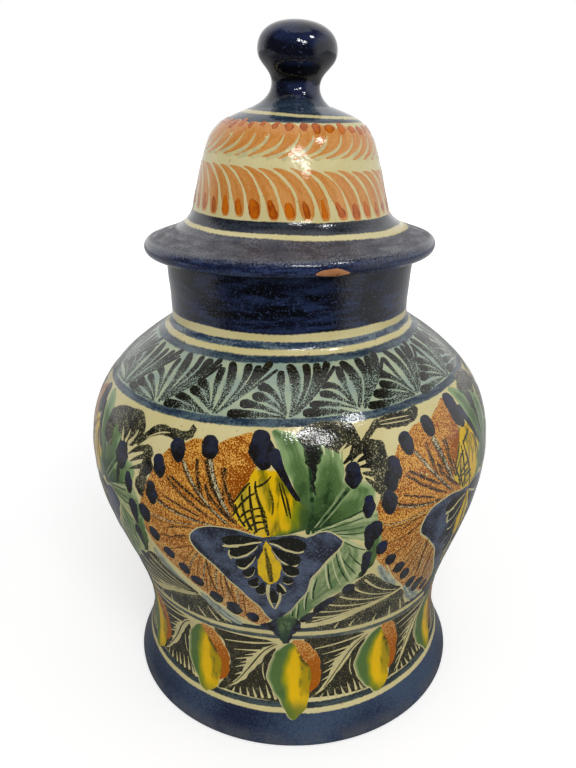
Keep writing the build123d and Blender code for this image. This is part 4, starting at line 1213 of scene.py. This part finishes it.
# Palmettes of the shoulder. Eighteen fans of black comma strokes on the celadon band, each stroke stippled
# along its body and solid where the brush was pressed at the tip.
PALMETTE_TURNS = np.r_[0.0, 20.5, 41.0, 61.0 + np.arange(12) * 19.83, 298.5, 318.5, 338.5]
palmette = np.array([
    [-0.8, 175.0, -7.0, 176.2, -12.0, 176.2, -17.6, 175.8, 1.0, 2.0, 5.0, 5.2],
    [-1.0, 175.3, -5.8, 178.2, -10.4, 179.4, -14.6, 179.2, 1.0, 1.8, 4.8, 5.0],
    [-0.7, 175.6, -3.8, 179.4, -7.4, 181.8, -11.4, 181.6, 1.0, 1.8, 4.8, 5.0],
    [-0.8, 176.2, -3.4, 181.8, -6.2, 185.0, -10.2, 184.4, 1.0, 1.8, 5.0, 5.0],
    [-0.6, 176.2, -2.0, 182.0, -3.2, 186.0, -2.7, 189.4, 1.0, 1.8, 4.2, 4.0],
    [0.2, 175.0, 2.4, 181.8, 3.4, 188.0, -0.6, 191.2, 1.6, 4.2, 7.4, 3.6],
    [1.0, 176.0, 5.2, 183.0, 7.2, 187.0, 6.0, 191.2, 1.0, 1.8, 4.4, 4.4],
    [1.4, 176.0, 7.2, 183.0, 10.2, 187.4, 10.3, 191.2, 1.0, 1.8, 4.2, 4.4],
    [1.0, 175.5, 7.8, 182.8, 12.6, 187.8, 14.6, 191.4, 1.2, 2.0, 3.6, 4.2],
    [1.6, 175.8, 7.8, 181.8, 12.7, 186.2, 17.0, 189.8, 1.2, 2.0, 2.2, 1.6],
])


def black_on_celadon(place):
    """Iron black stippled on celadon, solid at the pressed tips."""
    along = place.share("along")
    tip = along.rise(0.56, 0.86)
    edge = place.share("edge").rise(0.4, 1.0)
    paint = tip.blend(colour(36, 35, 22), colour(20, 18, 8))
    cover = 0.67 + tip * 0.34 + (place.share("load") - 0.5) * 0.16 - edge * (0.4 - tip * 0.2)
    return stippled(place, paint, CELADON, cover, 0.46)


brush("shoulder_palmettes", copies(palmette, PALMETTE_TURNS, 101, 0.4), 0.08,
      glaze("black_on_celadon", black_on_celadon))

# Jar neck. A collar luted to the shoulder, glazed in dark cobalt on the wheel, with black smears and pale
# flecks drawn out round it. It covers the seam, and its rim carries the lid.
RIM_LEVEL = 228.6
RIM_RADIUS = 60.2
RIM_ROUND = 1.2


def neck_cobalt(place):
    """Dark cobalt over a wavy cream edge: streaks round the neck, black smears and pale flecks, and painted
    shade in dark brown just under the rim, where the lid's brim overhangs it.
    """
    wave = (place.noise(34, 1.0) - 0.5) * 3.0 + (place.noise(1.6, 1.0) - 0.5) * 0.6
    streaks = place.scaled(1, 1, 5).noise(13, 3.0)
    blue = streaks.rise(0.38, 0.66).blend(colour(6, 9, 24), colour(32, 44, 74))
    smears = place.scaled(1, 1, 3.4).noise(26, 2.0).rise(0.52, 0.64)
    dark = smears.blend(blue, colour(3, 4, 9))
    fleck = (place.noise(0.9, 1.0).rise(0.53, 0.74) * 0.5).blend(dark, colour(60, 76, 112))
    # Painted shade: a dark brown band just under the rim, beneath the lid's brim.
    under_rim = (place.part("Z") + (place.noise(7, 2.0) - 0.5) * 3).rise(226.2, 227.4)
    painted_brim_shade = under_rim.blend(fleck, colour(30, 23, 14))
    return (place.part("Z") + wave).rise(202.0, 202.7).blend(cream_ground(place), painted_brim_shade)


throat = NECK_RADIUS - WALL
edge_level = RIM_LEVEL - RIM_ROUND
neck_outside = even(sweep((NECK_RADIUS, SEAM_LEVEL), 90, (RIM_RADIUS, edge_level), 90, EVEN_FULLNESS), 1.0)
rim_out = even(arc((RIM_RADIUS - RIM_ROUND, edge_level), RIM_ROUND, 0, 90), 0.4)
rim_in = even(arc((throat + RIM_ROUND, edge_level), RIM_ROUND, 90, 180), 0.4)
neck_inside = flat((throat, edge_level), (throat, SEAM_LEVEL), (NECK_RADIUS, SEAM_LEVEL))
neck_section = np.vstack([neck_outside[:-1], rim_out, rim_in, neck_inside[1:-1]])
points, faces, row = lathe(neck_section, closed=True)
inside_row = len(neck_outside) - 1 + len(rim_out) + len(rim_in)
neck_glaze = glaze("neck_cobalt", neck_cobalt, gloss=0.1, uneven=1.4)
neck_shell = add_piece("neck_shell", points, faces, [neck_glaze, pot_inside], "jar", "neck_glaze",
                       np.where(row < inside_row, 0, 1))
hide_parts("jar_neck")

# Lid. Brim, dome and crown thrown in one and hollow underneath, with cobalt on brim and crown, cream rings
# and a cream dome. The brim rests on the neck's rim.
BRIM_RADIUS = 70.4
LIP_RADIUS = 3.8
BRIM_PITCH = 20.0
DOME_FOOT = (46.8, 249.5)
DOME_FOOT_PITCH = 76.2
DOME_SHOULDER = (40.4, 274.7)
DOME_SHOULDER_PITCH = 71.6
CROWN = (19.0, 293.5)
CROWN_PITCH = 22.0
CROWN_FULLNESS = 0.48
LID_WALL = 6.0
LID_MOUTH = 44.3


def inset(point, pitch, depth):
    """The point moved depth into the clay, square to an outline that runs inwards at pitch."""
    step = heading(pitch)
    return np.asarray(point) + np.array([-step[1], step[0]]) * depth


lip_centre = np.array([BRIM_RADIUS - LIP_RADIUS, RIM_LEVEL + LIP_RADIUS])
lip = arc(lip_centre, LIP_RADIUS, -90, 90 - BRIM_PITCH)
brim = sweep(lip[-1], BRIM_PITCH, DOME_FOOT, DOME_FOOT_PITCH, EVEN_FULLNESS)
dome = sweep(DOME_FOOT, DOME_FOOT_PITCH, DOME_SHOULDER, DOME_SHOULDER_PITCH, EVEN_FULLNESS)
crown = sweep(DOME_SHOULDER, DOME_SHOULDER_PITCH, CROWN, CROWN_PITCH, CROWN_FULLNESS)
lid_outside = np.vstack([lip, brim[1:], dome[1:], crown[1:]])
inner_foot = inset(DOME_FOOT, DOME_FOOT_PITCH, LID_WALL)
inner_shoulder = inset(DOME_SHOULDER, DOME_SHOULDER_PITCH, LID_WALL)
ceiling = inset(CROWN, CROWN_PITCH, LID_WALL)
hollow_side = np.vstack([
    sweep((LID_MOUTH, RIM_LEVEL), 90, inner_foot, DOME_FOOT_PITCH, EVEN_FULLNESS),
    sweep(inner_foot, DOME_FOOT_PITCH, inner_shoulder, DOME_SHOULDER_PITCH, EVEN_FULLNESS)[1:],
    sweep(inner_shoulder, DOME_SHOULDER_PITCH, ceiling, CROWN_PITCH, CROWN_FULLNESS)[1:],
])[::-1]
lid_hollow = even(hollow_side, 2.5)
lid_underside = flat((LID_MOUTH, RIM_LEVEL), lip[0])
lid_face = even(lid_outside, 1.0)
crown_top = flat(lid_face[-1], (8, CROWN[1]))
lid_section = np.vstack([lid_hollow[:-1], lid_underside[:-1], lid_face, crown_top[1:]])


def lid_bands(place):
    """The lid's ground, band above band, on a slant that rises to the left."""
    radius = (place.part("X") ** 2.0 + place.part("Y") ** 2.0) ** 0.5
    ragged = (place.noise(1.4, 1.0) - 0.5) * 0.5 + (place.noise(24, 1.0) - 0.5) * 0.9
    level = place.part("Z") + ragged
    side = place.part("X") / radius
    cream = cream_ground(place)
    blue = banded_blue(place, colour(34, 46, 62), colour(58, 74, 90))
    low_blue = banded_blue(place, colour(30, 32, 40), colour(54, 60, 70))
    top_blue = banded_blue(place, colour(18, 22, 44), colour(60, 62, 76))
    lip_blue = banded_blue(place, colour(18, 26, 52), colour(50, 64, 100))
    brim_blue = place.part("Z").rise(233.6, 236.2).blend(lip_blue, top_blue)
    worn = place.part("Z").rise(233, 235) * place.noise(10, 2.0).rise(0.3, 0.6)
    dusty = (worn * place.noise(0.7, 1.0).rise(0.44, 0.66) * 0.6).blend(brim_blue, colour(122, 122, 124))
    tint = (place.noise(0.8, 1.0).rise(0.66, 0.8) * 0.4).blend(dusty, colour(120, 126, 140))
    rows = [(241.5, 1.7, cream), (243.2, 1.4, low_blue), (247.9, 1.2, cream), (287.2, 0.3, blue),
            (289.8, 1.8, cream), (291.0, 1.8, blue)]
    for edge, slant, above in rows:
        tint = (level + side * slant).rise(edge - 0.25, edge + 0.25).blend(tint, above)
    return tint


def lid_gloss(place):
    """Glossy dome and lip, and a brim worn matt on top."""
    level = place.part("Z")
    streaks = place.scaled(1, 1, 9).noise(12, 2.0)
    worn = level.rise(235.2, 236.6) * (1 - level.rise(240.0, 241.2))
    return 0.13 + worn * (0.12 + streaks.rise(0.3, 0.6) * 0.24)


points, faces, row = lathe(lid_section, closed=False)
bare_rows = len(lid_hollow) - 1 + len(lid_underside) - 1
lid_glaze = glaze("lid_banded", lid_bands, gloss=lid_gloss)
lid_shell = add_piece("lid_shell", points, faces, [lid_glaze, pot_inside], "lid", "lid_glaze",
                      np.where(row < bare_rows, 1, 0))
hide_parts("lid_dome")

# Wreath on the lid's dome. Two rows of orange comma strokes that lean left from a bare middle line, each
# darker where the brush was pressed at its tip.
lid_height = lid_outside[:, 1]
lid_radius = lid_outside[:, 0]


def lid_skin(turn, height):
    """Point of the lid's outside at a turn and a painter's height, on the slant of the lid's rows."""
    level = height - 1.9 * np.sin(np.radians(turn))
    return thrown(np.interp(level, lid_height, lid_radius), level, turn)


def wreath_orange(place):
    """Thin iron orange, softly streaked along the stroke and darker at its rims."""
    along = place.share("along")
    across = place.share("across")
    sockets = {0: along * 2.0, 1: across * 1.2, 2: place.share("load") * 40}
    lengthwise = along.make("ShaderNodeCombineXYZ", {}, sockets)
    cloud = lengthwise.noise(1.0, 2.0) * 0.6 + place.noise(1.0, 2.0) * 0.4
    body = cloud.rise(0.34, 0.66).blend(colour(196, 124, 52), colour(212, 150, 82))
    return (place.share("edge").rise(0.7, 1.0) * 0.4).blend(body, colour(186, 108, 36))


def wreath_tip(place):
    """The same orange in a thick drop, darkest at its rim."""
    depth = place.noise(3, 1.0) * 0.6 + place.share("edge").rise(0.3, 1.0) * 0.4 + place.share("load") * 0.3
    return depth.rise(0.3, 0.85).blend(colour(202, 106, 6), colour(150, 62, 0))


upper_stroke = np.array([[-17.0, 273.4, -1.0, 277.0, 4.4, 281.0, 0.0, 287.2, 0.3, 6.0, 8.6, 8.4]])
upper_gap = np.array([[-24.0, 273.0, -12.0, 275.4, -5.0, 277.6, -3.4, 283.2, 1.8, 2.1, 1.7, 0.5]])
upper_tip = np.array([[0.4, 287.3, -0.4, 286.4, -0.8, 285.4, -0.8, 284.0, 2.4, 4.2, 4.2, 2.4]])
lower_stroke = np.array([[-20.0, 268.9, -9.5, 268.0, -0.6, 261.0, 0.0, 248.3, 0.3, 4.4, 7.2, 5.6]])
lower_tip = np.array([[-2.2, 256.0, -1.6, 254.0, -0.6, 252.0, 0.0, 249.4, 1.6, 4.0, 5.2, 4.6]])
UPPER_COUNT = 37
LOWER_COUNT = 38
upper_turns = -0.7 + np.arange(UPPER_COUNT) * 360 / UPPER_COUNT
lower_turns = 0.6 + np.arange(LOWER_COUNT) * 360 / LOWER_COUNT
tip_glaze = glaze("wreath_tip", wreath_tip)
wreath = np.vstack([copies(upper_stroke, upper_turns, 111, 0.4), copies(lower_stroke, lower_turns, 112, 0.4)])
tips = np.vstack([copies(upper_tip, upper_turns, 113, 0.5), copies(lower_tip, lower_turns, 112, 0.7)])
press = np.random.default_rng(9)
tips[:UPPER_COUNT, ROW_WIDTHS] *= press.uniform(0.9, 1.25, (UPPER_COUNT, 1))
tips[UPPER_COUNT:, ROW_WIDTHS] *= press.uniform(0.6, 1.15, (LOWER_COUNT, 1))
gaps = copies(upper_gap, upper_turns, 111, 0.4)
for name, strokes, lift, coat, seed in [
        ("lid_wreath", wreath, 0.08, glaze("wreath_orange", wreath_orange), 5),
        ("lid_wreath_gaps", gaps, 0.11, cream_glaze, 6),
        ("lid_wreath_tips", tips, 0.12, tip_glaze, 7)]:
    brush(name, strokes, lift, coat, seed, lid_skin, "lid", "lid_glaze")

# Chip on the lip of the brim, at the right of the front, where the glaze broke away from the clay. A thin
# lens of bare clay laid over the glaze.
chip = np.array([[8.6, 230.8, 12.2, 231.4, 16.2, 231.4, 20.8, 230.8, 0.8, 5.4, 5.4, 0.8]])
brush("lip_chip", chip, 0.14, clay, 8, lid_skin, "lid", "ring_clay")

# Locating ring. A plain band of clay luted under the brim, which drops into the neck and is left unglazed.
# The solid itself is shown, in bare clay.
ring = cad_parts["lid_locating_ring"]
ring.data.materials.clear()
ring.data.materials.append(clay)

# Knob. A ball on a drawn-in stem, thrown apart, luted to the crown a little off the axis and leaning, and
# dipped in thick dark cobalt that pooled very glossy.
KNOB_FOOT_RADIUS = 18.2
KNOB_PITCH = 30.0
KNOB_OFFSET = 1.5
KNOB_LEAN = 3.5
KNOB_TUCK = 2.5
STEM = (11.2, 9.5)
BALL = (18.2, 24.0)
KNOB_TOP = (0.0, 36.5)
KNOB_FULLNESS = 0.42


def leaning(radius, height, turn):
    """Point of the knob: turned about its own axis, tipped towards +X and set on the crown off the axis."""
    upright = thrown(radius, height, turn)
    tip = np.radians(KNOB_LEAN)
    across = upright[..., 0] * np.cos(tip) + upright[..., 2] * np.sin(tip) + KNOB_OFFSET
    up = upright[..., 2] * np.cos(tip) - upright[..., 0] * np.sin(tip) + CROWN[1]
    return np.stack([across, upright[..., 1], up], -1)


def knob_cobalt(place):
    """Thick cobalt with drifts of blue flecks, painted near black on the upper stem and under the ball as its
    dark reflection and shade there, thin as on the crown at the foot."""
    drift = place.noise(12, 2.0).rise(0.42, 0.66).blend(colour(10, 12, 24), colour(26, 34, 64))
    fleck = (place.noise(0.8, 1.0).rise(0.6, 0.76) * 0.5).blend(drift, colour(66, 84, 126))
    level = place.part("Z")
    # Painted shade and dark reflection: near black from the upper stem up the underside of the ball.
    pool = level.rise(303, 305) * (1 - level.rise(309.5, 311.5))
    pooled = pool.blend(fleck, colour(3, 3, 6))
    foot = 1 - (level + (place.noise(3, 1.0) - 0.5) * 1.5).rise(294.2, 298.4)
    return foot.blend(pooled, banded_blue(place, colour(34, 46, 62), colour(58, 74, 90)))


def knob_gloss(place):
    """Very glossy, a little less so where the foot thins out over the crown."""
    return 0.13 - place.part("Z").rise(294, 299) * 0.07


knob_foot = np.array([KNOB_FOOT_RADIUS, 0.0])
tucked = knob_foot - heading(KNOB_PITCH) * KNOB_TUCK / np.sin(np.radians(KNOB_PITCH))
knob_side = np.vstack([
    sweep(knob_foot, KNOB_PITCH, STEM, 90, EVEN_FULLNESS),
    sweep(STEM, 90, BALL, 90, KNOB_FULLNESS)[1:],
    sweep(BALL, 90, KNOB_TOP, 0, KNOB_FULLNESS)[1:],
])
knob_face = even(knob_side, 0.6)[:-1]
knob_section = np.vstack([flat((6, -KNOB_TUCK), tucked, knob_foot)[:-1], knob_face])
points, faces, _ = lathe(knob_section, closed=False, place=leaning)
knob_glaze = glaze("knob_cobalt", knob_cobalt, gloss=knob_gloss)
knob_shell = add_piece("knob_shell", points, faces, [knob_glaze], "lid", "knob_glaze")
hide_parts("lid_knob")

# Studio. A pale floor, a surround that the glaze mirrors dark in front and bright behind and to the right,
# two small lamps close above the camera and one to the right that sparkle in the glaze, and a large soft
# fill. The floor looks paler further off, so that it meets the white surround without a line.
FLOOR_PALE = (0.84, 0.84, 0.84, 1)
FLOOR_DARK = (0.2, 0.2, 0.2, 1)
GLOW_NEAR = (0.42, 0.42, 0.42, 1)
GLOW_FAR = (0.8, 0.8, 0.8, 1)
NO_GLOW = (0, 0, 0, 1)
BELLY_MIDDLE = np.array([0, 0, 0.16])
floor_mesh = bpy.data.meshes.new("floor")
floor_mesh.from_pydata([(-6, -0.32, 0), (6, -0.32, 0), (6, 6, 0), (-6, 6, 0)], [], [(0, 1, 2, 3)])
floor = bpy.data.objects.new("floor", floor_mesh)
bpy.context.scene.collection.objects.link(floor)
floor_material = bpy.data.materials.new("floor_white")
floor_material.use_nodes = True
floor_tree = floor_material.node_tree
floor_shader = floor_tree.nodes["Principled BSDF"]
floor_start = Paint(floor_tree)
mirror_ray = floor_start.make("ShaderNodeLightPath", {}, {}, "Is Glossy Ray")
seen_ray = floor_start.make("ShaderNodeLightPath", {}, {}, "Is Camera Ray")
floor_place = floor_start.make("ShaderNodeTexCoord", {}, {}, "Object")
behind = floor_place.part("Y").rise(-0.05, 0.3)
beside = floor_place.part("X").rise(0.15, 0.5)
far_left = 1 - floor_place.part("X").rise(-0.75, -0.4)
bright = 1 - (1 - behind) * (1 - beside) * (1 - far_left)
mirrored_tone = bright.blend(FLOOR_DARK, FLOOR_PALE)
floor_tone = mirror_ray.blend(FLOOR_PALE, mirrored_tone)
floor_tree.links.new(floor_tone.socket, floor_shader.inputs["Base Color"])
distance = (floor_place.part("X") ** 2.0 + floor_place.part("Y") ** 2.0) ** 0.5
far_glow = distance.rise(0.2, 0.9).blend(GLOW_NEAR, GLOW_FAR)
floor_glow = seen_ray.blend(NO_GLOW, far_glow)
floor_tree.links.new(floor_glow.socket, floor_shader.inputs["Emission Color"])
floor_shader.inputs["Emission Strength"].default_value = 1.0
floor_shader.inputs["Roughness"].default_value = 0.9
floor_mesh.materials.append(floor_material)

world = bpy.data.worlds.new("studio")
bpy.context.scene.world = world
world.use_nodes = True
sky = Paint(world.node_tree)
camera_ray = sky.make("ShaderNodeLightPath", {}, {}, "Is Camera Ray")
glossy_ray = sky.make("ShaderNodeLightPath", {}, {}, "Is Glossy Ray")
way = sky.make("ShaderNodeTexCoord", {}, {}, "Generated")
back = way.part("Y").rise(0.05, 0.45)
right = way.part("X").rise(0.6, 0.9)
above = way.part("Z").rise(0.86, 0.96)
mirrored = 1 - (1 - back) * (1 - right) * (1 - above) * 0.95
strength = camera_ray + (1 - camera_ray) * (glossy_ray * mirrored + (1 - glossy_ray) * 0.5)
background = world.node_tree.nodes["Background"]
background.inputs["Color"].default_value = (1, 1, 1, 1)
world.node_tree.links.new(strength.socket, background.inputs["Strength"])


def soft_box(name, place, width, height, power, fills):
    """Rectangular lamp at a place in metres that faces the middle of the jar's belly. It either fills, and
    isn't mirrored by the glaze, or only sparkles in it."""
    lamp = bpy.data.lights.new(name, "AREA")
    lamp.shape = "RECTANGLE"
    lamp.size = width
    lamp.size_y = height
    lamp.energy = power
    holder = bpy.data.objects.new(name, lamp)
    holder.location = place
    x, y, z = np.array(place) - BELLY_MIDDLE
    holder.rotation_euler = (np.pi / 2 - np.arctan2(z, np.hypot(x, y)), 0, np.arctan2(x, -y))
    holder.visible_camera = False
    holder.visible_glossy = not fills
    holder.visible_diffuse = fills
    bpy.context.scene.collection.objects.link(holder)


soft_box("fill_box", (0.2, -1.0, 1.1), 0.7, 0.5, 8.3, True)
soft_box("spark_left", (0.05, -0.34, 0.49), 0.085, 0.02, 0.27, False)
soft_box("spark_right", (0.12, -0.34, 0.44), 0.045, 0.035, 0.15, False)
soft_box("spark_side", (0.39, -0.34, 0.78), 0.10, 0.08, 0.9, False)

# Camera. It stands close in front, level with the crown of the lid, and looks down at the belly. Its focal
# length and sideways shift are in pixels of the picture, its two angles in degrees.
IMAGE_HEIGHT = 768
FOCAL_PIXELS = 720.5
CENTRE_PIXELS = 2.9
LOOK_DOWN = 21.03
ROLL = -0.28
camera_data = bpy.data.cameras.new("camera")
camera_data.sensor_fit = "VERTICAL"
camera_data.sensor_height = 36.0
camera_data.lens = FOCAL_PIXELS / IMAGE_HEIGHT * camera_data.sensor_height
camera_data.shift_x = -CENTRE_PIXELS / IMAGE_HEIGHT
camera_data.clip_start = 0.01
camera = bpy.data.objects.new("camera", camera_data)
camera.location = (0, -0.3560, 0.2936)
camera.rotation_mode = "ZYX"
camera.rotation_euler = (np.radians(90 - LOOK_DOWN), 0, np.radians(ROLL))
bpy.context.scene.collection.objects.link(camera)
bpy.context.scene.camera = camera

# The colours go out as they are, without a film curve.
bpy.context.scene.view_settings.view_transform = "Standard"
